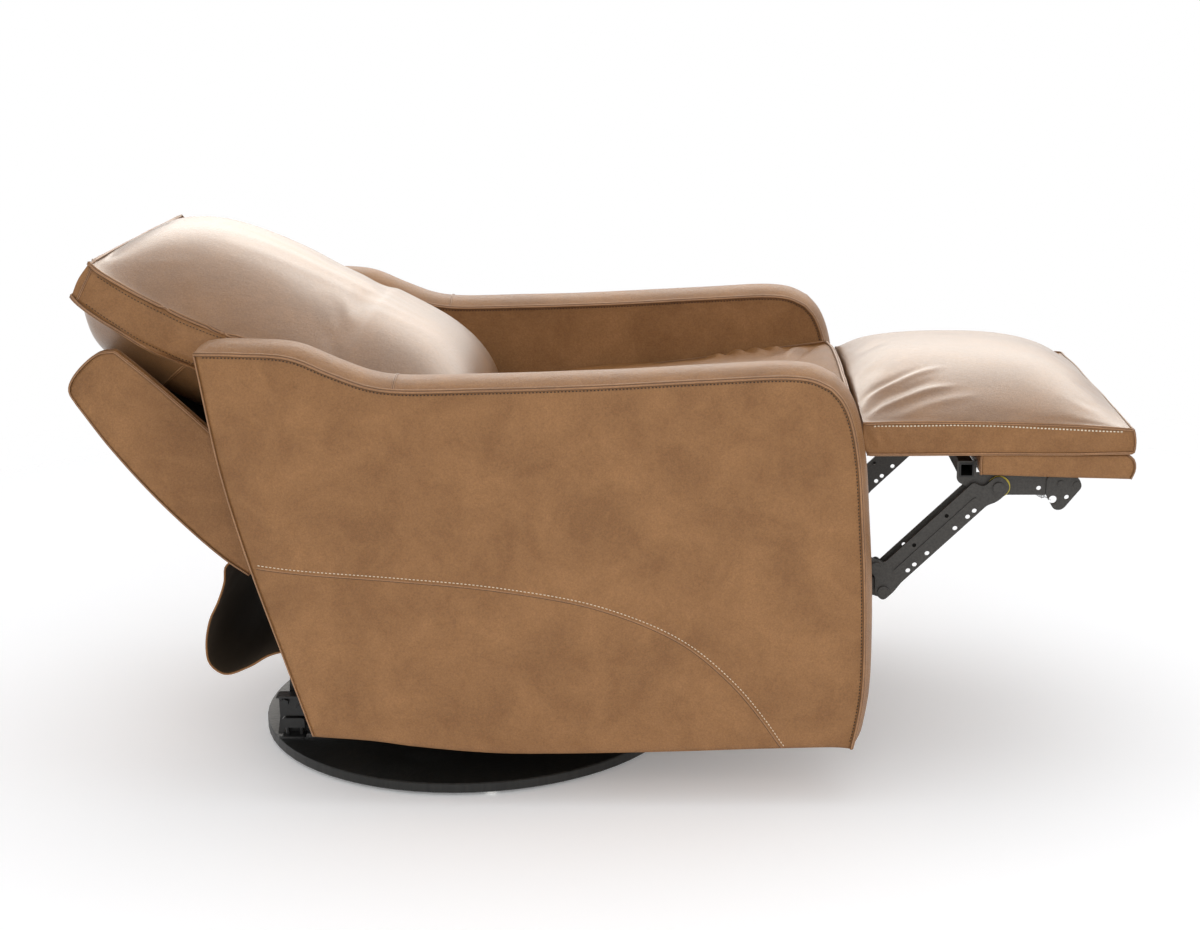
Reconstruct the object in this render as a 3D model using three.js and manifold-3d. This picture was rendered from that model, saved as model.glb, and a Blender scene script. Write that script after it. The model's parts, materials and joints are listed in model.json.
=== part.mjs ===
// Swivel glider recliner, reclined with its footrest out. Millimetres, +Z up, +X towards the footrest.
// Side profiles are drawn in X and Z from the swivel axis at the floor, and run across the chair in Y.
import * as THREE from 'three';
import { mergeVertices } from 'three/addons/utils/BufferGeometryUtils.js';
import Module from 'manifold-3d';

const wasm = await Module();
wasm.setup();

// Clearances
const seatGap = 0.3;
const runningGap = 0.4;
const overrun = 1;
const weld = 0.0005;
const hair = 0.01;

// Overall sizes
const overallWidth = 710;
const armThickness = 82;
const armInner = overallWidth / 2 - armThickness;

// Steel plates stand in layers, counted inwards from the side plate
const plateThickness = 4;
const layerPitch = 7;
const sideSpacer = 17;
const sideLayer = 0;
const driveLayer = 1;
const outerLayer = 2;
const innerLayer = 3;
const parallelLayer = 4;
const bearingLayer = 5;
const layerMiddle = (layer) => armInner - sideSpacer - plateThickness / 2 - layer * layerPitch;
const layerOuter = (layer) => layerMiddle(layer) + plateThickness / 2;
const layerInner = (layer) => layerMiddle(layer) - plateThickness / 2;

// Fasteners
const pinRadius = 5;
const headRadius = 8;
const headHeight = 2.5;
const smallHoleRadius = 3.6;
const endRadius = 12;

// Base disc and its feet
const discRadius = 325;
const discThickness = 15;
const discBevel = 1.5;
const footHeight = 5;
const footRadius = 9;
const footInset = 12;
const footCount = 4;
const footTurn = -80.5;
const discTop = footHeight + discThickness;

// Swivel bearing
const raceInnerRadius = 60;
const raceOuterRadius = 105;
const raceHeight = 4;
const raceGroove = 8;
const raceGrooveDepth = 1;
const turntableLength = 300;
const turntableThickness = 5;
const turntableCorner = 40;
const turntableBottom = discTop + seatGap + raceHeight + runningGap;
const turntableTop = turntableBottom + turntableThickness;

// Glider: rails and hangers on the turntable, links that hang from them, rails on the links
const gliderInset = 125;
const gliderInner = armInner - gliderInset;
const railSheet = 3;
const railLength = 568;
const railBottom = 23;
const railMiddleTop = 56;
const railEndTop = 76;
const railHornLength = 58;
const railSlope = 28;
const railEndRun = 18;
const railToe = 5;
const railFlangeWidth = 30;
const railFlangeLength = 290;
const stopLength = 34;
const stopWidth = 18;
const stopHeight = 15;
const stopRise = 13;
const stopRound = 5;
const stopTabWidth = 26;
const stopTabHeight = 3;
const stopBoltRadius = 3;
const stopBoltPitch = 21;
const stopCentre = 256;
const hangerPivotX = 246;
const hangerPivotZ = 156;
const swingLength = 84;
const hangerFootWidth = 42;
const hangerTopRadius = 12;
const swingRadius = 12;
const carriageRailLength = 552;
const carriageRailHeight = 38;
const carriageRailDrop = 13;
const carriageRailFlange = 22;
const endBoltInset = 9;
const endBoltRise = 10;
const endBoltRadius = 6;
const endBoltLength = 7;
const carriageTubeSize = 20;
const carriageTubeWall = 2;
const carriageTubeX = 150;
const hangerOuter = gliderInner + railSheet + seatGap + plateThickness;
const swingInner = hangerOuter + layerPitch - plateThickness;
const swingOuter = swingInner + plateThickness;
const carriageRailInner = swingOuter + layerPitch - plateThickness;
const swingPivotZ = hangerPivotZ - swingLength;
const carriageRailTop = swingPivotZ + carriageRailHeight - carriageRailDrop;
const carriageTubeBottom = carriageRailTop + seatGap;

// Footrest linkage. Both loops are parallelograms: inner and drive links turn together by a right angle,
// outer and parallel links keep their direction, and the bracket turns with the inner link.
const knee = { x: 611.6, z: 279.7 };
const upperPivot = { x: 769.7, z: 433 };
const foldedUpperPivot = { x: 443.3, z: 275.3 };
const driveOffset = { x: -12, z: 38 };
const parallelOffset = { x: -26, z: 8 };
const outerSpan = { x: upperPivot.x - knee.x, z: upperPivot.z - knee.z };
const outerLength = Math.hypot(outerSpan.x, outerSpan.z);
const outerAngle = Math.atan2(outerSpan.z, outerSpan.x);
const foldedKnee = { x: foldedUpperPivot.x - outerSpan.x, z: foldedUpperPivot.z - outerSpan.z };
const hipSum = { x: foldedKnee.x - knee.z, z: foldedKnee.z + knee.x };
const hip = { x: (hipSum.x + hipSum.z) / 2, z: (hipSum.z - hipSum.x) / 2 };
const innerLength = Math.hypot(knee.x - hip.x, knee.z - hip.z);
const innerAngle = Math.atan2(knee.z - hip.z, knee.x - hip.x);
const driveHip = { x: hip.x + driveOffset.x, z: hip.z + driveOffset.z };
const lowerParallel = { x: knee.x + parallelOffset.x, z: knee.z + parallelOffset.z };
const hipRadius = 16;
const parallelRadius = 10;
const torqueTubeRadius = 12.5;
const torqueTubeWall = 2;

// Outer link plate, from the knee at 0 to the upper pivot at its length
const outerAbove = 30;
const outerBelow = 8.3;
const outerBodyStart = 27;
const outerBodyEnd = 191;
const kneeEndRadius = 11;
const upperEndRadius = 14.5;
const shoulderRun = 9;
const ribOffset = 9;
const ribStart = 34;
const ribEnd = 184;
const ribWidth = 8;
const ribHeight = 1.5;
const ribOverlap = 0.5;
const edgeHoleOffset = -2;
const edgeHoleRun = 46;
const edgeHoleShares = [0, 0.1, 0.29, 0.71, 0.9, 1];
const edgeHoleSpan = 127;
const inkHoleOffset = 20;
const inkHoleRuns = [78, 140];
const inkHoleRadius = 3;
const parallelHoleRun = 79.5;
const parallelHoleOffset = 3;

// Footrest bracket, drawn from the upper pivot
const bracketTop = 19.7;
const barBottom = -12.5;
const barEnd = 73;
const barToe = -20;
const earRear = -58;
const earFront = -31;
const earBottom = 7;
const earTop = 36.7;
const crossTubeSize = 20;
const crossTubeWall = 2;
const crossTubeRise = 24;
const crossTubeBack = -44.7;
const bracketRun = 6;
const flangeStart = 26;
const flangeEnd = 110;
const flangeWidth = 18;
const flangeThickness = 3;
const gussetStart = 68;
const gussetEnd = 119;
const gussetTop = 14;
const gussetFall = -34;
const gussetToe = 86;
const gussetSheet = 2.5;
const gussetRivetRadius = 4.5;
const gussetRivetHeight = 1.5;
const gussetRivetRear = { x: 88, z: 4.5 };
const gussetRivetFront = { x: 110, z: 3 };
const gussetHole = { x: 97.5, z: -15.5 };
const hookNotch = { x: 78, z: -19 };
const hookNotchRadius = 6;
const barHole = { x: 58, z: -3 };

// Extension spring behind the bar of the bracket
const springStart = { x: 12, z: 15 };
const springEnd = { x: 84, z: -20.5 };
const springRadius = 3.4;
const springWire = 0.8;
const springTurns = 15;
const springSteps = 8;
const springSides = 5;
const springLead = 3;

// Footrest board and pad
const boardRear = 742;
const boardLength = 211;
const boardBottom = upperPivot.z + bracketTop + seatGap;
const boardSideGap = 11;
const boardRound = 7;
const padBottom = 486;
const padRear = 579;
const padLength = 374;
const padBoxing = 46;
const padCrown = 79;
const padSideGap = 5;
const padDrawIn = 5;
const padFullness = 1.7;

// Seat
const seatPitch = 0.121;
const railWidth = 21;
const frontRailX = 415;
const frontRailThickness = 22;
const frontRailHeight = 44;
const frontRailTop = 424;
const rearRailX = -95;
const rearRailThickness = 22;
const rearRailHeight = 48;
const sideRailGap = 1;
const sideRailOuter = layerInner(bearingLayer) - sideRailGap;
const sideRailHeight = 34;
const deckThickness = 5;
const seatFront = 562;
const seatNoseBottom = 480;
const seatNoseRun = 22;
const seatNoseDepth = 125;
const seatTopFront = 547;
const seatTopFall = 86;
const seatCrown = 22;
const seatSideGap = 6;
const seatRearRun = 640;
const seatDrawIn = 4;
const seatFullness = 1.8;
const seatTailX = 4;
const seatTailGap = 2;

// Inner back: turns about backPivot, its lower end is round about that pivot
const backPivot = { x: -55, z: 497 };
const backLean = 27.5;
const backLength = 500;
const backDepth = 120;
const backRollRadius = 98;
const backSideRoll = 88;
const backFullness = 2.4;
const hingeArmReach = 196;
const hingeArmDrop = 16;
const hingePinRadius = 6;
const backPivotRadius = 20;

// Outer back: turns about outerBackPivot by a smaller angle
const outerBackPivot = { x: -120, z: 309 };
const outerBackCorner = { x: -285, z: 312 };
const outerBackLean = 47.5;
const outerBackLength = 361;
const outerBackDepth = 118;
const outerPanelThickness = 34;
const wingThickness = 17;
const wingOuterGap = 2;
const outerPivotRadius = 16;

// Rear flap
const flapThickness = 3;
const flapInset = 23;
const flapHalfWidth = armInner - flapInset;
const flapTopBack = 20;
const flapTopRise = 10;

// Side plate
const sidePlateBottom = 84;
const sidePlateFoot = 172;
const sidePlateRound = 22;
const drivePivotRadius = 13;
const sidePlateTopGap = 1.5;
const lighteningRadius = 42;

// Arm outline
const armRear = -319;
const armReach = 894;
const armBottom = 80;
const armRise = 567;
const armCrown = 13;

// Materials
const finish = (color, roughness, metalness) => new THREE.MeshStandardMaterial({ color, roughness, metalness });
const leather = finish('#9a7350', 0.55, 0);
const blackSteel = finish('#2b2a28', 0.5, 0.6);
const blackBoard = finish('#1d1c1b', 0.6, 0.2);
const zinc = finish('#b9bcbd', 0.35, 0.9);
const whitePlastic = finish('#e4e2dc', 0.5, 0);
const timber = finish('#c2a06c', 0.7, 0);
const webbing = finish('#2f2c28', 0.9, 0);

// Geometry helpers

// Merge equal vertices and drop the triangles that a pole leaves empty.
function clean(geometry) {
  const bare = geometry.clone();
  bare.deleteAttribute('normal');
  bare.deleteAttribute('uv');
  const merged = mergeVertices(bare, weld);
  const source = merged.index.array;
  const kept = [];
  for (let i = 0; i < source.length; i += 3) {
    const [a, b, c] = [source[i], source[i + 1], source[i + 2]];
    if (a !== b && b !== c && c !== a) kept.push(a, b, c);
  }
  merged.setIndex(kept);
  return merged;
}

function toSolid(geometry) {
  const merged = clean(geometry);
  const mesh = new wasm.Mesh({
    numProp: 3,
    vertProperties: Float32Array.from(merged.attributes.position.array),
    triVerts: Uint32Array.from(merged.index.array),
  });
  return new wasm.Manifold(mesh);
}

function toGeometry(solid) {
  const mesh = solid.getMesh();
  const geometry = new THREE.BufferGeometry();
  geometry.setAttribute('position', new THREE.BufferAttribute(Float32Array.from(mesh.vertProperties), 3));
  geometry.setIndex(Array.from(mesh.triVerts));
  return geometry;
}

function fuse(first, ...others) {
  return toGeometry(others.reduce((solid, other) => solid.add(toSolid(other)), toSolid(first)));
}

function cut(first, ...tools) {
  return toGeometry(tools.reduce((solid, tool) => solid.subtract(toSolid(tool)), toSolid(first)));
}

function block(x0, x1, y0, y1, z0, z1) {
  const box = new THREE.BoxGeometry(x1 - x0, y1 - y0, z1 - z0);
  return box.translate((x0 + x1) / 2, (y0 + y1) / 2, (z0 + z1) / 2);
}

// A round bar across the chair, from y0 to y1.
function crossBar(radius, y0, y1, x = 0, z = 0, sides = 12) {
  return new THREE.CylinderGeometry(radius, radius, y1 - y0, sides).translate(x, (y0 + y1) / 2, z);
}

// A side profile run across the chair, from y0 to y1.
function across(shape, y0, y1, curveSegments = 6) {
  const options = { depth: y1 - y0, bevelEnabled: false, curveSegments };
  return new THREE.ExtrudeGeometry(shape, options).rotateX(Math.PI / 2).translate(0, y1, 0);
}

function plate(shape, layer, curveSegments = 6) {
  return across(shape, layerInner(layer), layerOuter(layer), curveSegments);
}

// A closed outline through corners, each rounded by a curve that starts and ends its third number away.
function roundedShape(corners) {
  const shape = new THREE.Shape();
  corners.forEach(([x, z, run = 0], i) => {
    const before = corners[(i + corners.length - 1) % corners.length];
    const after = corners[(i + 1) % corners.length];
    const corner = new THREE.Vector2(x, z);
    const back = new THREE.Vector2(before[0], before[1]).sub(corner);
    const ahead = new THREE.Vector2(after[0], after[1]).sub(corner);
    const reach = Math.min(run, back.length() / 2, ahead.length() / 2);
    const start = corner.clone().add(back.setLength(reach));
    const end = corner.clone().add(ahead.setLength(reach));
    if (i === 0) shape.moveTo(start.x, start.y);
    else shape.lineTo(start.x, start.y);
    if (reach > 0) shape.quadraticCurveTo(x, z, end.x, end.y);
  });
  shape.closePath();
  return shape;
}

// A bar with round ends of two radii, from 0 to length along X.
function barShape(length, startRadius, stopRadius) {
  const shape = new THREE.Shape();
  const tangent = Math.acos((startRadius - stopRadius) / length);
  shape.absarc(0, 0, startRadius, tangent, 2 * Math.PI - tangent, false);
  shape.absarc(length, 0, stopRadius, -tangent, tangent, false);
  shape.closePath();
  return shape;
}

function hole(shape, x, z, radius) {
  const path = new THREE.Path();
  path.absarc(x, z, radius, 0, 2 * Math.PI, true);
  shape.holes.push(path);
  return shape;
}

// A revolved profile about the vertical axis.
function turned(profile, sides) {
  const points = profile.map(([radius, z]) => new THREE.Vector2(radius, z));
  return new THREE.LatheGeometry(points, sides).rotateX(Math.PI / 2);
}

// A square tube across the chair with an open bore.
function squareTube(x0, z0, size, wall, halfWidth) {
  const outer = block(x0, x0 + size, -halfWidth, halfWidth, z0, z0 + size);
  const end = halfWidth + overrun;
  return cut(outer, block(x0 + wall, x0 + size - wall, -end, end, z0 + wall, z0 + size - wall));
}

// Closed sections of equal count, skinned into one body. A section is { y, points: [[x, z], ...] }.
// For the end faces the points move by a hair, so that no point on a straight edge is left out.
function loft(sections) {
  const count = sections[0].points.length;
  const positions = [];
  for (const { y, points } of sections) {
    for (const [x, z] of points) positions.push(x, y, z);
  }
  const flat = sections[0].points.map(([x, z]) => new THREE.Vector2(x, z));
  const clockwise = THREE.ShapeUtils.isClockWise(flat);
  const index = [];
  const face = (a, b, c) => (clockwise ? index.push(a, b, c) : index.push(a, c, b));
  for (let s = 0; s < sections.length - 1; s += 1) {
    for (let i = 0; i < count; i += 1) {
      const next = (i + 1) % count;
      const [a, b] = [s * count + i, s * count + next];
      face(a, b, b + count);
      face(a, b + count, a + count);
    }
  }
  const last = (sections.length - 1) * count;
  const ends = [sections[0], sections[sections.length - 1]];
  ends.forEach(({ points }, end) => {
    const nudged = (i) => hair * Math.sin(i * i);
    const contour = points.map(([x, z], i) => new THREE.Vector2(x + nudged(i), z + nudged(i + 1)));
    for (const [a, b, c] of THREE.ShapeUtils.triangulateShape(contour, [])) {
      const turn = THREE.ShapeUtils.area([contour[a], contour[b], contour[c]]) < 0;
      const [p, q, r] = turn ? [a, c, b] : [a, b, c];
      if (end === 0) index.push(p, q, r);
      else index.push(last + p, last + r, last + q);
    }
  });
  const geometry = new THREE.BufferGeometry();
  geometry.setAttribute('position', new THREE.Float32BufferAttribute(positions, 3));
  geometry.setIndex(index);
  return geometry;
}

// Stations across a cushion, as shares of its half width, closer together near its sides.
const stationShares = [-1, -0.94, -0.8, -0.6, -0.32, 0, 0.32, 0.6, 0.8, 0.94, 1];

// A crowned cushion: its section changes from the side outline to the middle one. Its half width is found
// at each point of the side outline.
function cushion(side, middle, widthAt, fullness) {
  const sections = stationShares.map((share) => {
    const swell = 1 - Math.abs(share) ** fullness;
    const points = side.map(([x, z], i) => [
      x + (middle[i][0] - x) * swell,
      z + (middle[i][1] - z) * swell,
    ]);
    return { y: share, points };
  });
  const geometry = loft(sections);
  const position = geometry.attributes.position;
  const widths = side.map(widthAt);
  for (let i = 0; i < position.count; i += 1) {
    position.setY(i, position.getY(i) * widths[i % side.length]);
  }
  return geometry;
}

// A half width that is drawn in by a few millimetres halfway from x0 to x1.
function drawnIn(halfWidth, drawIn, x0, x1) {
  return ([x]) => {
    const along = THREE.MathUtils.clamp((x - x0) / (x1 - x0), 0, 1);
    return halfWidth - 4 * drawIn * along * (1 - along);
  };
}

// A round tube of few sides along points, closed at both ends.
function tubeAlong(points, radius, sides) {
  const positions = [];
  const index = [];
  const across0 = new THREE.Vector3();
  points.forEach((point, i) => {
    const tangent = points[Math.min(i + 1, points.length - 1)].clone().sub(points[Math.max(i - 1, 0)]).normalize();
    if (i === 0) across0.crossVectors(tangent, new THREE.Vector3(0, 1, 0)).normalize();
    across0.addScaledVector(tangent, -across0.dot(tangent)).normalize();
    const up = new THREE.Vector3().crossVectors(tangent, across0);
    for (let k = 0; k < sides; k += 1) {
      const angle = (2 * Math.PI * k) / sides;
      const spot = point.clone();
      spot.addScaledVector(across0, radius * Math.cos(angle));
      spot.addScaledVector(up, radius * Math.sin(angle));
      positions.push(spot.x, spot.y, spot.z);
    }
  });
  for (let i = 0; i < points.length - 1; i += 1) {
    for (let k = 0; k < sides; k += 1) {
      const [a, b] = [i * sides + k, i * sides + ((k + 1) % sides)];
      index.push(a, b, b + sides, a, b + sides, a + sides);
    }
  }
  const last = (points.length - 1) * sides;
  for (let k = 1; k < sides - 1; k += 1) {
    index.push(0, k + 1, k);
    index.push(last, last + k, last + k + 1);
  }
  const geometry = new THREE.BufferGeometry();
  geometry.setAttribute('position', new THREE.Float32BufferAttribute(positions, 3));
  geometry.setIndex(index);
  return geometry;
}

// Scene helpers

const chair = new THREE.Group();

function add(name, geometry, material, x = 0, z = 0, angle = 0) {
  const mesh = new THREE.Mesh(clean(geometry), material);
  mesh.name = name;
  mesh.position.set(x, 0, z);
  mesh.rotation.y = -angle;
  chair.add(mesh);
  return mesh;
}

// The same piece on both sides: drawn on the left (+Y), mirrored to the right.
function addPair(name, geometry, material, x = 0, z = 0, angle = 0) {
  for (const [suffix, side] of [['left', 1], ['right', -1]]) {
    add(`${name}_${suffix}`, geometry, material, x, z, angle).scale.y = side;
  }
}

// Base disc, feet and lower race

function makeBase() {
  const rim = discRadius - discBevel;
  const disc = turned([
    [0, footHeight],
    [rim, footHeight],
    [discRadius, footHeight + discBevel],
    [discRadius, discTop - discBevel],
    [rim, discTop],
    [0, discTop],
  ], 72);
  add('base_disc', disc, blackBoard);
  const foot = turned([
    [0, 0],
    [footRadius - discBevel, 0],
    [footRadius, discBevel],
    [footRadius, footHeight - seatGap],
    [0, footHeight - seatGap],
  ], 16);
  const footRing = discRadius - footInset;
  for (let i = 0; i < footCount; i += 1) {
    const angle = THREE.MathUtils.degToRad(footTurn + (360 / footCount) * i);
    const mesh = add(`glide_foot_${i + 1}`, foot, whitePlastic);
    mesh.position.set(footRing * Math.cos(angle), footRing * Math.sin(angle), 0);
  }
  const raceBottom = discTop + seatGap;
  const raceTop = raceBottom + raceHeight;
  const raceMiddle = (raceInnerRadius + raceOuterRadius) / 2;
  const race = turned([
    [raceInnerRadius, raceBottom],
    [raceOuterRadius, raceBottom],
    [raceOuterRadius, raceTop],
    [raceMiddle + raceGroove / 2, raceTop],
    [raceMiddle, raceTop - raceGrooveDepth],
    [raceMiddle - raceGroove / 2, raceTop],
    [raceInnerRadius, raceTop],
    [raceInnerRadius, raceBottom],
  ], 40);
  add('swivel_lower_race', race, zinc);
}

// Turntable plate, glider rails and hangers

function makeTurntable() {
  const halfLength = turntableLength / 2;
  const halfWidth = gliderInner - seatGap;
  const corner = turntableCorner;
  const outline = roundedShape([
    [-halfLength, -halfWidth, corner],
    [halfLength, -halfWidth, corner],
    [halfLength, halfWidth, corner],
    [-halfLength, halfWidth, corner],
  ]);
  hole(outline, 0, 0, raceInnerRadius);
  const options = { depth: turntableThickness, bevelEnabled: false, curveSegments: 8 };
  const turntable = new THREE.ExtrudeGeometry(outline, options).translate(0, 0, turntableBottom);
  add('turntable_plate', turntable, blackSteel);

  const half = railLength / 2;
  const hornEnd = half - railHornLength;
  const halfProfile = [
    [half, railBottom],
    [half - railToe, railMiddleTop],
    [half - railEndRun, railEndTop],
    [hornEnd, railEndTop],
    [hornEnd - railSlope, railMiddleTop],
  ];
  const mirrored = halfProfile.map(([x, z]) => [-x, z]).reverse();
  const web = across(roundedShape([...halfProfile, ...mirrored]), gliderInner, gliderInner + railSheet);
  const flangeBottom = turntableTop + seatGap;
  const flangeHalf = railFlangeLength / 2;
  const railPieces = [
    block(-flangeHalf, flangeHalf, gliderInner - railFlangeWidth, gliderInner + overrun,
      flangeBottom, flangeBottom + railSheet),
  ];
  const tabInner = gliderInner + railSheet;
  const tabTop = railBottom + stopTabHeight + stopTabHeight;
  const stopInner = hangerOuter + seatGap;
  for (const end of [-1, 1]) {
    const centre = end * stopCentre;
    const [x0, x1] = [centre - stopLength / 2, centre + stopLength / 2];
    railPieces.push(block(x0, x1, tabInner - overrun, tabInner + stopTabWidth, tabTop - stopTabHeight, tabTop));
    const stopBottom = tabTop + stopRise;
    const stopProfile = roundedShape([
      [x0, stopBottom],
      [x1, stopBottom],
      [x1, stopBottom + stopHeight, stopRound],
      [x0, stopBottom + stopHeight, stopRound],
    ]);
    railPieces.push(across(stopProfile, stopInner, stopInner + stopWidth));
    for (const step of [-1, 1]) {
      const bolt = new THREE.CylinderGeometry(stopBoltRadius, stopBoltRadius, stopRise + 2 * overrun, 10);
      bolt.rotateX(Math.PI / 2);
      const boltX = centre + (step * stopBoltPitch) / 2;
      railPieces.push(bolt.translate(boltX, stopInner + stopWidth / 2, tabTop + stopRise / 2));
    }
  }
  addPair('glider_rail', fuse(web, ...railPieces), blackSteel);

  const footZ = tabTop + seatGap;
  const hanger = roundedShape([
    [-hangerFootWidth / 2, footZ - hangerPivotZ],
    [hangerFootWidth / 2, footZ - hangerPivotZ],
    [hangerTopRadius, 0],
    [hangerTopRadius, hangerTopRadius, hangerTopRadius],
    [-hangerTopRadius, hangerTopRadius, hangerTopRadius],
    [-hangerTopRadius, 0],
  ]);
  hole(hanger, 0, 0, pinRadius + runningGap);
  const hangerPlate = across(hanger, hangerOuter - plateThickness, hangerOuter);
  addPair('hanger_front', hangerPlate, blackSteel, hangerPivotX, hangerPivotZ);
  addPair('hanger_rear', hangerPlate, blackSteel, -hangerPivotX, hangerPivotZ);
}

// Swing links hang from the hangers and carry the carriage rails

function makeSwingLinks() {
  const body = across(barShape(swingLength, swingRadius, swingRadius), swingInner, swingOuter);
  body.rotateY(Math.PI / 2);
  const upperPin = crossBar(pinRadius, hangerOuter - plateThickness - overrun, swingOuter);
  const upperCollar = crossBar(headRadius, hangerOuter + runningGap, swingInner + overrun);
  const upperHead = crossBar(headRadius, swingOuter - overrun, swingOuter + headHeight);
  const lowerPin = crossBar(pinRadius, swingInner, carriageRailInner + railSheet + overrun, 0, -swingLength);
  const lowerCollar = crossBar(headRadius, swingOuter - overrun, carriageRailInner - runningGap, 0, -swingLength);
  const link = fuse(body, upperPin, upperCollar, upperHead, lowerPin, lowerCollar);
  addPair('swing_link_front', link, blackSteel, hangerPivotX, hangerPivotZ);
  addPair('swing_link_rear', link, blackSteel, -hangerPivotX, hangerPivotZ);
}

function makeCarriage() {
  const half = carriageRailLength / 2;
  const bottom = carriageRailTop - carriageRailHeight;
  const profile = roundedShape([
    [-half, bottom, railSheet],
    [half, bottom, railSheet],
    [half, carriageRailTop],
    [-half, carriageRailTop],
  ]);
  hole(profile, hangerPivotX, swingPivotZ, pinRadius + runningGap);
  hole(profile, -hangerPivotX, swingPivotZ, pinRadius + runningGap);
  const web = across(profile, carriageRailInner, carriageRailInner + railSheet);
  const flangeOuter = carriageRailInner + carriageRailFlange;
  const flange = block(-half, half, carriageRailInner, flangeOuter, carriageRailTop - railSheet, carriageRailTop);
  const webOuter = carriageRailInner + railSheet;
  const bolts = [-1, 1].map((end) => {
    const x = end * (half - endBoltInset);
    return crossBar(endBoltRadius, webOuter - overrun, webOuter + endBoltLength, x, swingPivotZ + endBoltRise, 6);
  });
  addPair('carriage_rail', fuse(web, flange, ...bolts), blackSteel);

  const tubeHalf = layerInner(sideLayer) - seatGap;
  for (const [name, x] of [['front', carriageTubeX], ['rear', -carriageTubeX]]) {
    const corner = x - carriageTubeSize / 2;
    const tube = squareTube(corner, carriageTubeBottom, carriageTubeSize, carriageTubeWall, tubeHalf);
    add(`carriage_tube_${name}`, tube, blackSteel);
  }
}

// Side plates carry the recline pivots, the drive link and the arms

function makeSidePlates() {
  const topAt = (x) => [x, seatBottom(x) - sidePlateTopGap];
  const earFront = backPivot.x + backPivotRadius;
  const noseX = driveHip.x + drivePivotRadius;
  const outline = roundedShape([
    [-sidePlateFoot, sidePlateBottom, sidePlateRound],
    [sidePlateFoot, sidePlateBottom, sidePlateRound],
    [noseX, driveHip.z - drivePivotRadius, drivePivotRadius],
    [...topAt(noseX), drivePivotRadius],
    [...topAt(earFront + backPivotRadius), sidePlateRound],
    [earFront, backPivot.z + backPivotRadius, backPivotRadius],
    [backPivot.x - backPivotRadius, backPivot.z + backPivotRadius, backPivotRadius],
    [outerBackPivot.x - backPivotRadius, outerBackPivot.z, backPivotRadius],
  ]);
  const middleX = (backPivot.x + driveHip.x) / 2;
  hole(outline, middleX - lighteningRadius * 2, outerBackPivot.z, lighteningRadius);
  hole(outline, middleX + lighteningRadius, outerBackPivot.z, lighteningRadius);
  const bossInner = layerOuter(sideLayer) - overrun;
  const bossOuter = armInner - seatGap;
  const bosses = [
    [backPivot.x, backPivot.z - 3 * backPivotRadius],
    [driveHip.x - 2 * drivePivotRadius, driveHip.z - drivePivotRadius / 2],
    [-sidePlateFoot + 2 * sidePlateRound, sidePlateBottom + 3 * sidePlateRound],
    [sidePlateFoot - 2 * sidePlateRound, sidePlateBottom + 3 * sidePlateRound],
  ].map(([x, z]) => crossBar(endRadius, bossInner, bossOuter, x, z));
  const pinInner = layerInner(driveLayer) - runningGap - headHeight;
  const headOuter = layerInner(driveLayer) - runningGap;
  const pins = [driveHip, backPivot, outerBackPivot].flatMap(({ x, z }) => [
    crossBar(hingePinRadius, pinInner, layerMiddle(sideLayer), x, z),
    crossBar(headRadius + overrun, pinInner, headOuter, x, z),
    crossBar(headRadius + overrun, layerOuter(driveLayer) + runningGap, layerMiddle(sideLayer), x, z),
  ]);
  addPair('side_plate', fuse(plate(outline, sideLayer), ...bosses, ...pins), blackSteel);
}

// Footrest linkage

function makeTorqueTube() {
  const half = layerInner(innerLayer) - seatGap;
  const bore = torqueTubeRadius - torqueTubeWall;
  const tube = cut(crossBar(torqueTubeRadius, -half, half, 0, 0, 20),
    crossBar(bore, -half - overrun, half + overrun, 0, 0, 20));
  add('torque_tube', tube, blackSteel, hip.x, hip.z, innerAngle);
}

function makeInnerLinks() {
  const shape = barShape(innerLength, hipRadius, endRadius);
  const parallelAlong = innerLength + parallelOffset.x * Math.cos(innerAngle) + parallelOffset.z * Math.sin(innerAngle);
  const parallelAside = parallelOffset.z * Math.cos(innerAngle) - parallelOffset.x * Math.sin(innerAngle);
  hole(shape, parallelAlong, parallelAside, pinRadius + runningGap);
  const kneePinOuter = layerOuter(outerLayer) + runningGap + headHeight;
  const pin = crossBar(pinRadius, layerMiddle(innerLayer), kneePinOuter, innerLength, 0);
  const head = crossBar(headRadius, layerOuter(outerLayer) + runningGap, kneePinOuter, innerLength, 0);
  const collar = crossBar(headRadius, layerMiddle(innerLayer), layerInner(outerLayer) - runningGap, innerLength, 0);
  addPair('inner_link', fuse(plate(shape, innerLayer), pin, collar, head), blackSteel, hip.x, hip.z, innerAngle);
}

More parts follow.
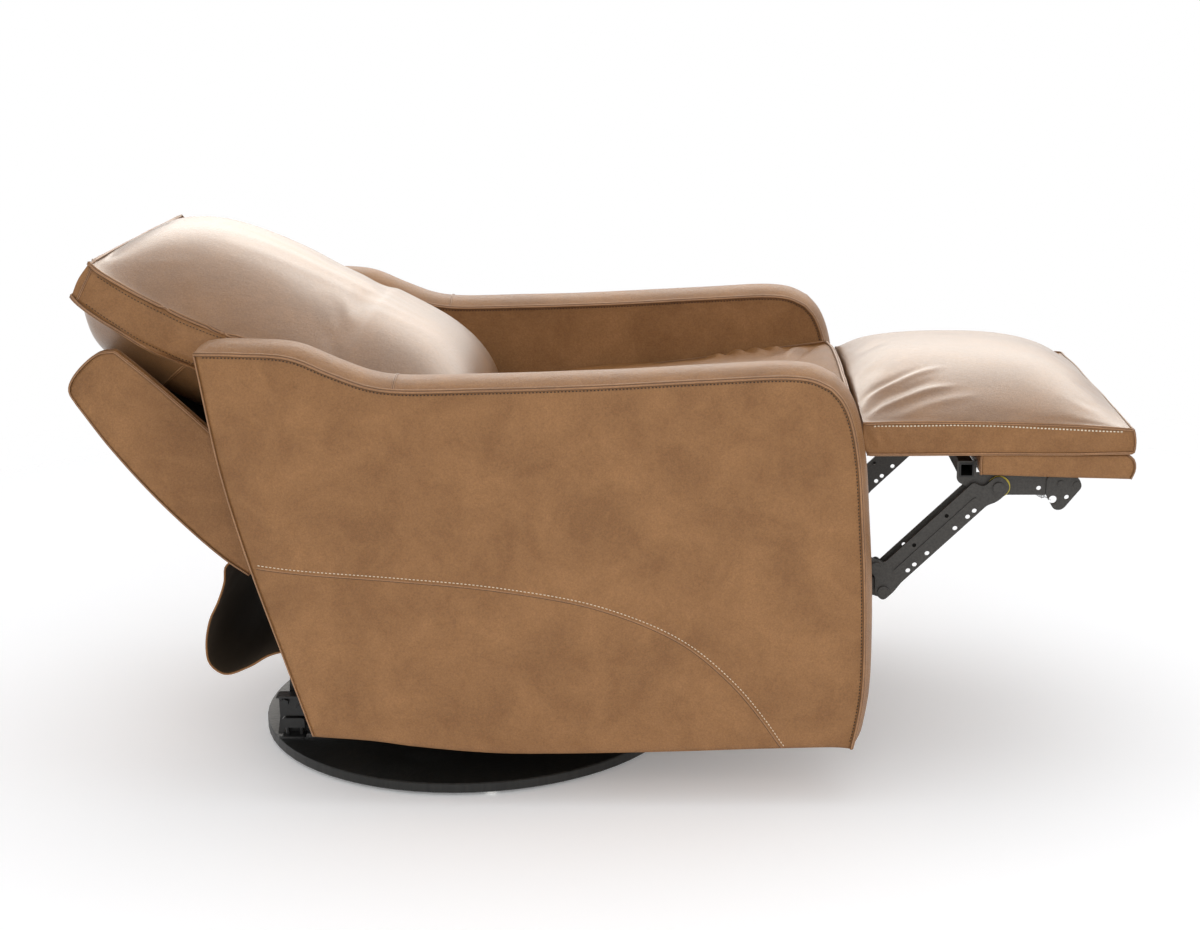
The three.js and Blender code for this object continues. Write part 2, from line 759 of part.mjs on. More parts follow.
function makeOuterLinks() {
  const driveAlong = driveOffset.x * Math.cos(outerAngle) + driveOffset.z * Math.sin(outerAngle);
  const driveAside = driveOffset.z * Math.cos(outerAngle) - driveOffset.x * Math.sin(outerAngle);
  const shape = roundedShape([
    [-kneeEndRadius, -kneeEndRadius, kneeEndRadius],
    [kneeEndRadius, -kneeEndRadius, kneeEndRadius / 2],
    [outerBodyStart, -outerBelow, outerBelow / 2],
    [outerBodyEnd, -outerBelow, outerBelow / 2],
    [outerLength - upperEndRadius, -upperEndRadius, upperEndRadius / 2],
    [outerLength + upperEndRadius, -upperEndRadius, upperEndRadius],
    [outerLength + upperEndRadius, upperEndRadius, upperEndRadius],
    [outerLength - upperEndRadius, upperEndRadius, upperEndRadius / 2],
    [outerBodyEnd + shoulderRun, outerAbove, shoulderRun / 2],
    [driveAlong + kneeEndRadius, outerAbove, kneeEndRadius / 2],
    [driveAlong + kneeEndRadius, driveAside + kneeEndRadius, kneeEndRadius],
    [driveAlong - kneeEndRadius, driveAside + kneeEndRadius, kneeEndRadius],
    [driveAlong - kneeEndRadius, driveAside - kneeEndRadius, kneeEndRadius / 2],
    [-kneeEndRadius, kneeEndRadius / 2, kneeEndRadius / 2],
  ]);
  hole(shape, 0, 0, pinRadius + runningGap);
  hole(shape, outerLength, 0, pinRadius + runningGap);
  hole(shape, driveAlong, driveAside, pinRadius + runningGap);
  for (const share of edgeHoleShares) {
    hole(shape, edgeHoleRun + edgeHoleSpan * share, edgeHoleOffset, smallHoleRadius);
  }
  for (const run of inkHoleRuns) hole(shape, run, inkHoleOffset, inkHoleRadius);
  const ribShape = barShape(ribEnd - ribStart, ribWidth / 2, ribWidth / 2);
  const ribInner = layerOuter(outerLayer) - ribOverlap;
  const rib = across(ribShape, ribInner, layerOuter(outerLayer) + ribHeight).translate(ribStart, 0, ribOffset);
  addPair('outer_link', fuse(plate(shape, outerLayer), rib), blackSteel, knee.x, knee.z, outerAngle);
}

function makeDriveLinks() {
  const shape = hole(barShape(innerLength, endRadius, kneeEndRadius), 0, 0, hingePinRadius + runningGap);
  const head = crossBar(headRadius, layerMiddle(driveLayer), layerOuter(driveLayer) + headHeight, innerLength, 0);
  const pin = crossBar(pinRadius, layerInner(outerLayer) + runningGap, layerMiddle(driveLayer), innerLength, 0);
  const collar = crossBar(headRadius, layerOuter(outerLayer) + runningGap, layerMiddle(driveLayer), innerLength, 0);
  const link = fuse(plate(shape, driveLayer), head, pin, collar);
  addPair('drive_link', link, blackSteel, driveHip.x, driveHip.z, innerAngle);
}

function makeParallelLinks() {
  const shape = barShape(outerLength, parallelRadius, parallelRadius);
  hole(shape, parallelHoleRun, parallelHoleOffset, inkHoleRadius);
  hole(shape, outerLength, 0, pinRadius + runningGap);
  const pin = crossBar(pinRadius, layerMiddle(parallelLayer), layerOuter(innerLayer) - runningGap);
  const collar = crossBar(headRadius, layerMiddle(parallelLayer), layerInner(innerLayer) - runningGap);
  const link = fuse(plate(shape, parallelLayer), pin, collar);
  addPair('parallel_link', link, blackSteel, lowerParallel.x, lowerParallel.z, outerAngle);
}

// Bracket, its gusset and the tube that joins both brackets

function makeFootrestBrackets() {
  const shape = roundedShape([
    [earRear, earBottom, bracketRun],
    [barToe, barBottom, bracketRun],
    [barEnd, barBottom, bracketRun],
    [barEnd, bracketTop],
    [earFront, bracketTop],
    [earFront, earTop],
    [earRear, earTop],
  ]);
  hole(shape, barHole.x, barHole.z, smallHoleRadius);
  const inner = layerInner(innerLayer);
  const outer = layerOuter(innerLayer);
  const pinOuter = layerOuter(outerLayer) + runningGap + headHeight;
  const parts = [
    crossBar(pinRadius, layerMiddle(innerLayer), pinOuter),
    crossBar(headRadius, layerOuter(outerLayer) + runningGap, pinOuter),
    crossBar(headRadius, layerMiddle(innerLayer), layerInner(outerLayer) - runningGap),
    crossBar(pinRadius, layerInner(parallelLayer), layerMiddle(innerLayer), parallelOffset.x, parallelOffset.z),
    block(flangeStart, flangeEnd, inner - flangeWidth, outer, bracketTop - flangeThickness, bracketTop),
  ];
  const gusset = roundedShape([
    [gussetStart, gussetTop, bracketRun],
    [gussetStart, barBottom, bracketRun],
    [gussetToe - bracketRun, gussetFall, bracketRun],
    [gussetToe + bracketRun, gussetFall, bracketRun],
    [gussetEnd, 0, bracketRun],
    [gussetEnd - bracketRun, gussetTop, bracketRun],
  ]);
  hole(gusset, gussetHole.x, gussetHole.z, smallHoleRadius);
  const gussetOuter = outer + gussetSheet;
  parts.push(across(gusset, outer - plateThickness / 2, gussetOuter));
  parts.push(block(gussetStart, flangeEnd, inner, outer, gussetTop - overrun, bracketTop));
  for (const { x, z } of [gussetRivetRear, gussetRivetFront]) {
    parts.push(crossBar(gussetRivetRadius, outer, gussetOuter + gussetRivetHeight, x, z, 12));
  }
  const whole = fuse(plate(shape, innerLayer), ...parts);
  const windowGap = seatGap;
  const [tubeX, tubeZ] = [crossTubeBack, crossTubeRise];
  const half = crossTubeSize / 2 + windowGap;
  const window = block(tubeX - half, tubeX + half, inner - overrun, outer + overrun, tubeZ - half, tubeZ + half);
  const notch = crossBar(hookNotchRadius, inner - overrun, gussetOuter + overrun, hookNotch.x, hookNotch.z, 14);
  addPair('footrest_bracket', cut(whole, window, notch), blackSteel, upperPivot.x, upperPivot.z);

  const corner = { x: upperPivot.x + tubeX - crossTubeSize / 2, z: upperPivot.z + tubeZ - crossTubeSize / 2 };
  const tubeHalf = layerOuter(innerLayer) + overrun;
  const tube = squareTube(corner.x, corner.z, crossTubeSize, crossTubeWall, tubeHalf);
  add('footrest_cross_tube', tube, blackSteel);
}

function springPoints() {
  const start = new THREE.Vector3(springStart.x, 0, springStart.z);
  const end = new THREE.Vector3(springEnd.x, 0, springEnd.z);
  const along = end.clone().sub(start);
  const length = along.length();
  along.normalize();
  const sideways = new THREE.Vector3(0, 1, 0);
  const up = new THREE.Vector3().crossVectors(sideways, along);
  const coil = length - 2 * springLead;
  const points = [start.clone(), start.clone().addScaledVector(along, springLead / 2)];
  const steps = springTurns * springSteps;
  for (let i = 0; i <= steps; i += 1) {
    const angle = (2 * Math.PI * i) / springSteps;
    const ease = Math.min(1, i / springSteps, (steps - i) / springSteps);
    const spot = start.clone().addScaledVector(along, springLead + (coil * i) / steps);
    spot.addScaledVector(sideways, springRadius * ease * Math.cos(angle));
    spot.addScaledVector(up, springRadius * ease * Math.sin(angle));
    points.push(spot);
  }
  points.push(end.clone().addScaledVector(along, -springLead / 2), end);
  return points;
}

function leastGap(points, wire, skip) {
  let least = Infinity;
  for (let i = 0; i < points.length; i += 1) {
    for (let k = i + skip; k < points.length; k += 1) {
      least = Math.min(least, points[i].distanceTo(points[k]) - 2 * wire);
    }
  }
  return least;
}

function makeSprings() {
  const points = springPoints();
  console.log(`footrest spring: least gap to itself ${leastGap(points, springWire, springSteps - 2).toFixed(2)} mm`);
  const middle = layerInner(innerLayer) - seatGap - springRadius - springWire;
  const spring = tubeAlong(points, springWire, springSides).translate(0, middle, 0);
  addPair('footrest_spring', spring, zinc, upperPivot.x, upperPivot.z);
}

function makeBearingBrackets() {
  const top = frontRailTop - frontRailHeight / 4;
  const shape = roundedShape([
    [hip.x - hipRadius, hip.z - hipRadius, hipRadius],
    [hip.x + hipRadius, hip.z - hipRadius, hipRadius],
    [frontRailX - seatGap, frontRailTop - frontRailHeight],
    [frontRailX - seatGap, top],
    [hip.x - hipRadius, top, bracketRun],
  ]);
  hole(shape, hip.x, hip.z, torqueTubeRadius + runningGap);
  addPair('tube_bearing_bracket', plate(shape, bearingLayer, 10), blackSteel);
}

// Footrest board and pad

const pick = (from, reach, share) => from + reach * share;

function makeFootrest() {
  const half = armInner - boardSideGap;
  const boardTop = padBottom - seatGap;
  const boardFront = boardRear + boardLength;
  const profile = roundedShape([
    [boardRear, boardBottom, boardRound],
    [boardFront, boardBottom, boardRound],
    [boardFront, boardTop, boardRound],
    [boardRear, boardTop, boardRound],
  ]);
  add('footrest_board', across(profile, -half, half), leather);

  const rise = padBoxing + padCrown;
  const sideShares = [
    [0, 0], [0.02, 0], [0.25, 0], [0.5, 0], [0.75, 0], [0.98, 0], [1, 0.02],
    [1.005, 0.15], [0.995, 0.3],
    [0.93, 0.31], [0.84, 0.32], [0.74, 0.33], [0.64, 0.34], [0.52, 0.35], [0.4, 0.36], [0.28, 0.365],
    [0.17, 0.37], [0.09, 0.375], [0.03, 0.375], [0, 0.37], [-0.01, 0.2], [-0.005, 0.08],
  ];
  const middleShares = [
    [0, 0], [0.02, 0], [0.25, 0], [0.5, 0], [0.75, 0], [0.98, 0], [1, 0.02],
    [1.01, 0.16], [0.99, 0.36],
    [0.93, 0.58], [0.84, 0.75], [0.74, 0.87], [0.64, 0.95], [0.52, 0.98], [0.4, 0.98], [0.28, 0.96],
    [0.17, 0.94], [0.09, 0.91], [0.04, 0.84], [0.01, 0.66], [-0.01, 0.36], [-0.005, 0.1],
  ];
  const place = ([u, v]) => [pick(padRear, padLength, u), pick(padBottom, rise, v)];
  const widthAt = drawnIn(armInner - padSideGap, padDrawIn, padRear, padRear + padLength);
  const pad = cushion(sideShares.map(place), middleShares.map(place), widthAt, padFullness);
  add('footrest_pad', pad, leather);
}

// Seat frame, deck and cushion

function seatBottom(x) {
  return frontRailTop + seatGap + seatPitch * (x - frontRailX);
}

function makeSeat() {
  const sidePlateGap = layerInner(sideLayer) - seatGap;
  const frontHalf = layerInner(driveLayer) - 2 * overrun;
  const frontRailBottom = frontRailTop - frontRailHeight;
  const frontEnd = frontRailX + frontRailThickness;
  const front = block(frontRailX, frontEnd, -frontHalf, frontHalf, frontRailBottom, frontRailTop);
  add('seat_front_rail', front, timber);
  const rearTop = frontRailTop - seatPitch * (frontRailX - rearRailX);
  const rearEnd = rearRailX + rearRailThickness;
  const rear = block(rearRailX, rearEnd, -sidePlateGap, sidePlateGap, rearTop - rearRailHeight, rearTop);
  add('seat_rear_rail', rear, timber);

  const [x0, x1] = [rearEnd + seatGap, frontRailX - seatGap];
  const deckZ = (x) => frontRailTop - deckThickness - seatGap - seatPitch * (frontRailX - x);
  const railTop = (x) => deckZ(x) - seatGap;
  const rail = roundedShape([
    [x0, railTop(x0) - sideRailHeight],
    [x1, railTop(x1) - sideRailHeight],
    [x1, railTop(x1)],
    [x0, railTop(x0)],
  ]);
  addPair('seat_side_rail', across(rail, sideRailOuter - railWidth, sideRailOuter), timber);
  const deck = roundedShape([
    [x0, deckZ(x0)],
    [x1, deckZ(x1)],
    [x1, deckZ(x1) + deckThickness],
    [x0, deckZ(x0) + deckThickness],
  ]);
  add('seat_deck', across(deck, -sideRailOuter, sideRailOuter), webbing);

  const rearX = seatFront - seatRearRun;
  const noseRear = seatFront - seatNoseDepth;
    const topZ = (x) => seatTopFront - (seatTopFall * (seatFront - x)) / seatRearRun;
  const scoop = backRollRadius + 5 * overrun;
  const scoopAt = (degrees) => {
    const angle = THREE.MathUtils.degToRad(degrees);
    return [backPivot.x + scoop * Math.cos(angle), backPivot.z + scoop * Math.sin(angle)];
  };
  const crestAt = (share) => {
    const x = scoopAt(-12)[0] + (seatFront - scoopAt(-12)[0]) * share;
    return [x, topZ(x)];
  };
  const noseFront = [seatFront - seatNoseRun, seatNoseBottom];
  const scoopTurns = [-95, -75, -58, -42, -27];
  const topShares = [0.02, 0.12, 0.26, 0.42, 0.58, 0.72, 0.84, 0.93, 0.98];
  const lower = [
    [rearX, seatBottom(rearX)],
    [noseRear - 2 * frontRailThickness, seatBottom(noseRear - 2 * frontRailThickness)],
    [noseRear, seatBottom(noseRear)],
    [noseRear, seatNoseBottom],
    [(noseRear + noseFront[0]) / 2, seatNoseBottom],
    noseFront,
    [seatFront - seatNoseRun / 2, seatNoseBottom + seatNoseRun],
    [seatFront, seatTopFront - seatNoseRun],
  ];
  const rearLip = [rearX, scoopAt(-95)[1]];
  const side = [...lower, ...topShares.map(crestAt).reverse(), ...scoopTurns.map(scoopAt).reverse(), rearLip];
  const swellShares = [0.05, 0.45, 0.8, 1, 1, 1, 1, 0.9, 0.7];
  const middleTop = topShares.map((share, i) => {
    const [x, z] = crestAt(share);
    return [x, z + seatCrown * swellShares[i]];
  });
  const middle = [...lower, ...middleTop.reverse(), ...scoopTurns.map(scoopAt).reverse(), rearLip];
  const whole = cushion(side, middle, drawnIn(armInner - seatSideGap, seatDrawIn, rearX, seatFront), seatFullness);
  // Its tail steps in beside the ears of the side plates.
  const [tailHalf, wholeHalf] = [layerInner(sideLayer) - seatTailGap, armInner];
  const steps = [[tailHalf, wholeHalf], [-wholeHalf, -tailHalf]].map(([y0, y1]) => (
    block(rearX - overrun, seatTailX, y0, y1, 0, seatFront)
  ));
  add('seat_cushion', cut(whole, ...steps), leather);
}

// Inner back: cushion, its frame and hinge arms

// Local axes of a leaning back: along it from the pivot, and out of its front.
function leaning(origin, degrees) {
  const angle = THREE.MathUtils.degToRad(180 - degrees);
  const [ux, uz] = [Math.cos(angle), Math.sin(angle)];
  return (along, out) => [origin.x + ux * along + uz * out, origin.z + uz * along - ux * out];
}

function makeInnerBack() {
  const at = leaning(backPivot, backLean);
  const place = ([u, v]) => at(u * backLength, v * backDepth);
  const roll = (radius) => (degrees) => {
    const angle = THREE.MathUtils.degToRad(degrees);
    return [backPivot.x + radius * Math.cos(angle), backPivot.z + radius * Math.sin(angle)];
  };
  const rollTurns = [22, 4, -14, -32, -50, -68, -86, -104, -122];
  const sideFrontShares = [
    [0.98, 0.33], [0.89, 0.27], [0.77, 0.24], [0.65, 0.2], [0.54, 0.19], [0.39, 0.3], [0.2, 0.38], [0.04, 0.41],
    [-0.07, 0.42],
  ];
  const middleFrontShares = [
    [0.95, 0.64], [0.86, 0.8], [0.7, 0.96], [0.57, 0.98], [0.45, 0.98], [0.34, 0.99], [0.22, 1], [0.06, 0.96],
    [-0.06, 0.89],
  ];
  const sideRearShares = [
    [0.14, -0.57], [0.39, -0.36], [0.61, -0.3], [0.71, -0.32], [0.83, -0.34], [0.94, -0.26], [0.985, -0.17],
    [1, 0.1],
  ];
  const middleRearShares = [
    [0.12, -0.88], [0.35, -0.93], [0.55, -0.81], [0.67, -0.78], [0.81, -0.73], [0.91, -0.63], [0.99, -0.43],
    [1.02, 0.13],
  ];
  const side = [...sideFrontShares.map(place), ...rollTurns.map(roll(backSideRoll)), ...sideRearShares.map(place)];
  const middle = [
    ...middleFrontShares.map(place),
    ...rollTurns.map(roll(backRollRadius)),
    ...middleRearShares.map(place),
  ];
  // The hinge arms run outside it.
  const halfWidth = layerInner(driveLayer) - runningGap - headHeight - 2 * seatGap;
  add('back_cushion', cushion(side, middle, () => halfWidth, backFullness), leather);

  const armShape = barShape(hingeArmReach, endRadius, endRadius);
  hole(armShape, 0, 0, hingePinRadius + runningGap);
  const lean = Math.PI - THREE.MathUtils.degToRad(backLean - hingeArmDrop);
  addPair('back_hinge_arm', plate(armShape, driveLayer), blackSteel, backPivot.x, backPivot.z, lean);
}

// Outer back: rear panel, side wings and hinge arms

function makeOuterBack() {
  const at = leaning(outerBackCorner, outerBackLean);
  const place = ([u, v]) => at(u * outerBackLength, v * outerBackDepth);
  const rearShares = [[0, 0], [0.12, -0.06], [0.43, -0.12], [0.71, -0.07], [0.92, 0.02], [0.98, 0.08], [1, 0.24]];
  const wingShares = [
    ...rearShares, [1, 0.64], [0.96, 0.8], [0.79, 0.86], [0.45, 0.93], [0.2, 0.98], [0.02, 1], [0, 0.94],
  ];
  const wingOuter = armInner - wingOuterGap;
  const wingInner = wingOuter - wingThickness;
  const wing = new THREE.Shape(wingShares.map(place).map(([x, z]) => new THREE.Vector2(x, z)));
  addPair('outer_back_wing', across(wing, wingInner, wingOuter), leather);

  const front = outerPanelThickness / outerBackDepth;
  const panelShares = [...rearShares, [1, front], [0.7, front], [0.4, front], [0.1, front], [0, front]];
  const panel = new THREE.Shape(panelShares.map(place).map(([x, z]) => new THREE.Vector2(x, z)));
  const panelHalf = wingInner - seatGap;
  add('outer_back_panel', across(panel, -panelHalf, panelHalf), leather);

  const grip = at(outerBackLength / 10, outerPanelThickness + seatGap + outerPivotRadius);
  const reach = { x: grip[0] - outerBackPivot.x, z: grip[1] - outerBackPivot.z };
  const armShape = barShape(Math.hypot(reach.x, reach.z), outerPivotRadius, outerPivotRadius);
  hole(armShape, 0, 0, hingePinRadius + runningGap);
  const angle = Math.atan2(reach.z, reach.x);
  addPair('outer_back_arm', plate(armShape, driveLayer), blackSteel, outerBackPivot.x, outerBackPivot.z, angle);
}

// Rear flap: a leather sheet that hangs in a loop from the outer back to the rear carriage tube

function makeFlap() {
  const top = { x: outerBackCorner.x - flapTopBack, z: outerBackCorner.z + flapTopRise };
  const foot = { x: -carriageTubeX - carriageTubeSize / 2 - seatGap - flapThickness / 2, z: carriageTubeBottom };
  const run = top.x - foot.x;
  const drop = top.z - foot.z;
  const pathShares = [
    [1, 1], [1.15, 0.97], [1.17, 0.84], [1.26, 0.62], [1.33, 0.42], [1.29, 0.32], [1.15, 0.27], [0.93, 0.33],
    [0.72, 0.41], [0.52, 0.44], [0.32, 0.42], [0.14, 0.31], [0.02, 0.16], [0, 0.04],
  ];
  const spots = pathShares.map(([u, v]) => new THREE.Vector3(foot.x + run * u, foot.z + drop * v, 0));
  const curve = new THREE.CatmullRomCurve3(spots);
  const middle = curve.getPoints(pathShares.length * 3);
  const side = (sign) => middle.map((point, i) => {
    const before = middle[Math.max(i - 1, 0)];
    const after = middle[Math.min(i + 1, middle.length - 1)];
    const tangent = after.clone().sub(before).normalize();
    const shift = (sign * flapThickness) / 2;
    return new THREE.Vector2(point.x - tangent.y * shift, point.y + tangent.x * shift);
  });
  const shape = new THREE.Shape([...side(1), ...side(-1).reverse()]);
  console.log(`rear flap: ${curve.getLength().toFixed(0)} mm long, ${2 * flapHalfWidth} mm wide`);
  add('rear_flap', across(shape, -flapHalfWidth, flapHalfWidth), leather);
}

// Arms: one outline, with a band that is crowned over the top and down the front

function makeArms() {
  const bandShares = [
    [0, 1], [0.07, 0.998], [0.14, 0.989], [0.2, 0.953], [0.25, 0.923], [0.29, 0.912], [0.35, 0.912], [0.42, 0.914],
    [0.51, 0.918], [0.6, 0.923], [0.68, 0.928], [0.77, 0.937], [0.84, 0.945], [0.88, 0.945], [0.926, 0.933],
    [0.956, 0.898], [0.972, 0.84], [0.985, 0.743], [0.993, 0.594], [1, 0.393], [1, 0.16], [0.992, 0.069],
  ];
  const plainShares = [
    [0.984, 0.011], [0.878, 0.012], [0.718, 0.005], [0.432, 0], [0.302, 0.018], [0.238, 0.032], [0.147, 0.044],
    [0.107, 0.249], [0.063, 0.487], [0.028, 0.714], [0.004, 0.952],
  ];
  const place = ([u, v]) => [pick(armRear, armReach, u), pick(armBottom, armRise, v)];
  const band = bandShares.map(place);
  const plain = plainShares.map(place);
  const outer = armInner + armThickness;
  const crownShares = [[0, 0], [0.1, 0.5], [0.25, 0.85], [0.5, 1], [0.75, 0.85], [0.9, 0.5], [1, 0]];
  const sections = crownShares.map(([share, crown]) => {
    const lifted = band.map(([x, z], i) => {
      const before = band[Math.max(i - 1, 0)];
      const after = band[Math.min(i + 1, band.length - 1)];
      const [dx, dz] = [after[0] - before[0], after[1] - before[1]];
      const length = Math.hypot(dx, dz);
      const ends = Math.min(1, i / 2);
      return [x - (dz / length) * armCrown * crown * ends, z + (dx / length) * armCrown * crown * ends];
    });
    return { y: armInner + (outer - armInner) * share, points: [...lifted, ...plain] };
  });
  addPair('arm', loft(sections), leather);
}

makeBase();
makeTurntable();
makeSwingLinks();
makeCarriage();
makeSidePlates();
makeTorqueTube();
makeInnerLinks();
makeOuterLinks();
makeDriveLinks();
makeParallelLinks();
makeFootrestBrackets();
makeSprings();
makeBearingBrackets();
makeFootrest();
makeSeat();
makeInnerBack();
makeOuterBack();
makeFlap();
makeArms();

// The part's origin is the middle of its footprint on the floor.
const reach = new THREE.Box3().setFromObject(chair);
const centre = reach.getCenter(new THREE.Vector3());
chair.position.set(-centre.x, -centre.y, -reach.min.z);

export default chair;
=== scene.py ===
"""Looks of a swivel glider recliner in tan leather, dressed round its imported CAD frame.

Profiles are drawn in millimetres, in X and Z from the swivel axis on the floor, +X towards the footrest,
and turned into metres in the frame's own axes by place().
"""

import math

import bmesh
import bpy
import numpy as np
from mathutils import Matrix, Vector, noise
from mathutils.bvhtree import BVHTree
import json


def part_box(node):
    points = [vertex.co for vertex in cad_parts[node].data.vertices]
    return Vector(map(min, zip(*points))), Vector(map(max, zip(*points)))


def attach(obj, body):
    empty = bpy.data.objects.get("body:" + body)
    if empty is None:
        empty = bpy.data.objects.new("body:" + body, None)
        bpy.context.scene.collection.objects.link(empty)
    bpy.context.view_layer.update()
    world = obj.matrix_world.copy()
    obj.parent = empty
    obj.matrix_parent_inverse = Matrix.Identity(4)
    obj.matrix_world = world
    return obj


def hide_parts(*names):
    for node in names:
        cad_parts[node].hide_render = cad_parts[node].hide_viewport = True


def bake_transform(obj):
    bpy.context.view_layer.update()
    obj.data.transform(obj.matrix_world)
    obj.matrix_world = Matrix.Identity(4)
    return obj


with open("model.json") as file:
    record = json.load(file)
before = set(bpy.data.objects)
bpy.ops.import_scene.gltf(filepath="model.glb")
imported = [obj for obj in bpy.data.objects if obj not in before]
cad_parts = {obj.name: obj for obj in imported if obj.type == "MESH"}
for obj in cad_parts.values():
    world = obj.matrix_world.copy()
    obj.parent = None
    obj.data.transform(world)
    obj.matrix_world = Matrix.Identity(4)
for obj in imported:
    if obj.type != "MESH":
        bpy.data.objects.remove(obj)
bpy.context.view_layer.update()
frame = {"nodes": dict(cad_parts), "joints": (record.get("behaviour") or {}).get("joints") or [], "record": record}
joints = {joint["name"]: joint for joint in frame["joints"]}
SWIVEL = np.array(joints["swivel"]["pos_m"][:2] + [0.0])

# Half widths and layers across the chair, in millimetres
ARM_INNER = 273
ARM_OUTER = 355
ARM_MIDDLE = (ARM_INNER + ARM_OUTER) / 2
ARM_HALF = (ARM_OUTER - ARM_INNER) / 2
ARM_CROWN = 13
PAD_HALF = 268
BOARD_HALF = 262
SEAT_HALF = 267
BACK_HALF = 245
SHELL_OUTER = 271
SHELL_WALL = 17
WING_INSET = 3.5
FLAP_HALF = 250

# Stitches as length, gap and radius, in millimetres
EDGE_STITCH = (2.8, 2.0, 0.85)
SIDE_STITCH = (3.6, 1.8, 0.6)
BACK_STITCH = (2.8, 2.0, 0.7)
PAD_STITCH = (3.3, 1.7, 1.1)
WING_STITCH = (3.6, 1.8, 0.5)
FLAP_STITCH = (2.8, 2.4, 0.6)

# The footrest's springs run between two points given from the tilt pivot, in millimetres
SPRING_START = (9, 16)
SPRING_END = (77, -22.5)
SPRING_RADIUS = 0.0036
SPRING_WIRE = 0.00065
SPRING_LEAD = 0.009
SPRING_TURNS = 26
SPRING_STEPS = 14

# Washers of the footrest's pivots, in metres
WASHER_Y = 0.2362
WASHER_OUTER = 0.0158
WASHER_INNER = 0.009
WASHER_THICK = 0.0012
WASHER_SHIFT = 0.0014
WASHER_POINTS = 40


# Curves and meshes


def place(points):
    """Points in millimetres from the swivel axis, as metres in the frame's axes."""
    return np.asarray(points, float) / 1000 + SWIVEL


def smooth_path(knots, count):
    """Evenly spaced points on a smooth curve through the knots."""
    knots = np.asarray(knots, float)
    if len(knots) == 2:
        return np.linspace(knots[0], knots[1], count)
    padded = np.vstack([2 * knots[0] - knots[1], knots, 2 * knots[-1] - knots[-2]])
    steps = np.maximum(np.linalg.norm(np.diff(padded, axis=0), axis=1), 1e-9) ** 0.5
    times = np.concatenate([[0], np.cumsum(steps)])
    fine = []
    for i in range(1, len(padded) - 2):
        t0, t1, t2, t3 = times[i - 1:i + 3]
        p0, p1, p2, p3 = padded[i - 1:i + 3]
        t = np.linspace(t1, t2, 24, endpoint=False)[:, None]
        a1, a2, a3 = mixed(t, t0, t1, p0, p1), mixed(t, t1, t2, p1, p2), mixed(t, t2, t3, p2, p3)
        fine.append(mixed(t, t1, t2, mixed(t, t0, t2, a1, a2), mixed(t, t1, t3, a2, a3)))
    return evenly(np.vstack(fine + [knots[-1:]]), count)


def mixed(t, start, end, p, q):
    """Goes from p to q as t goes from start to end."""
    return (end - t) / (end - start) * p + (t - start) / (end - start) * q


def distances(points):
    """How far along a polyline each of its points lies."""
    return np.concatenate([[0], np.cumsum(np.linalg.norm(np.diff(points, axis=0), axis=1))])


def resampled(rows, run, count):
    """Values known at some distances along a run, at evenly spaced ones."""
    wanted = np.linspace(0, run[-1], count)
    return np.stack([np.interp(wanted, run, column) for column in rows.T], axis=1)


def evenly(points, count):
    """The same polyline with its points evenly spaced."""
    return resampled(points, distances(points), count)


def run_length(points):
    return float(np.linalg.norm(np.diff(np.asarray(points, float), axis=0), axis=1).sum())


def outward(path):
    """The direction square to a path in X and Z at each of its points, to the left of its run."""
    ahead = np.gradient(path, axis=0)
    ahead /= np.linalg.norm(ahead, axis=1)[:, None]
    return np.stack([-ahead[:, 1], ahead[:, 0]], axis=1)


def placed_at(path, y):
    """A path in X and Z placed in the frame at one distance across the chair, or at one for each point."""
    return place(np.stack([path[:, 0], np.broadcast_to(y, len(path)), path[:, 1]], axis=1))


def grid_faces(rows, columns, closed=False):
    """Quads of a grid of points stored row by row. A closed grid joins its last row to its first."""
    faces = []
    for i in range(rows if closed else rows - 1):
        a, b = i * columns, (i + 1) % rows * columns
        faces += [(a + k, a + k + 1, b + k + 1, b + k) for k in range(columns - 1)]
    return faces


def directions(path):
    """The unit direction of a path at each of its points."""
    ahead = np.gradient(path, axis=0)
    return ahead / np.maximum(np.linalg.norm(ahead, axis=1), 1e-12)[:, None]


def tube(path, radius, sides):
    """Points and faces of a round tube along a path."""
    ahead = directions(path)
    out = np.cross(ahead[0], [0, 1, 0])
    if np.linalg.norm(out) < 0.1:
        out = np.cross(ahead[0], [1, 0, 0])
    outs = []
    for direction in ahead:
        out = out - direction * np.dot(out, direction)
        out = out / np.linalg.norm(out)
        outs.append(out)
    outs = np.array(outs)
    ups = np.cross(ahead, outs)
    turn = np.linspace(0, 2 * np.pi, sides, endpoint=False)
    ring = outs[:, None] * np.cos(turn)[:, None] + ups[:, None] * np.sin(turn)[:, None]
    points = (path[:, None] + ring * radius).reshape(-1, 3)
    faces = []
    for i in range(len(path) - 1):
        a, b = i * sides, (i + 1) * sides
        faces += [(a + k, b + k, b + (k + 1) % sides, a + (k + 1) % sides) for k in range(sides)]
    last = len(points) - sides
    faces += [tuple(range(sides)), tuple(last + k for k in reversed(range(sides)))]
    return points, faces


def joined(parts):
    """Several (points, faces) pairs as one."""
    points, faces, first = [], [], 0
    for part_points, part_faces in parts:
        points.append(part_points)
        faces += [tuple(i + first for i in face) for face in part_faces]
        first += len(part_points)
    return np.vstack(points), faces


def make_piece(name, points, faces, material, body, slot="leather", sharp=None):
    """A smooth shaded mesh piece that rides on a body."""
    mesh = bpy.data.meshes.new(name)
    mesh.from_pydata([tuple(p) for p in points], [], faces)
    mesh.shade_smooth()
    if sharp:
        mesh.set_sharp_from_angle(angle=math.radians(sharp))
    mesh.materials.append(material)
    piece = bpy.data.objects.new(name, mesh)
    bpy.context.scene.collection.objects.link(piece)
    if body:
        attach(piece, body)
    return piece


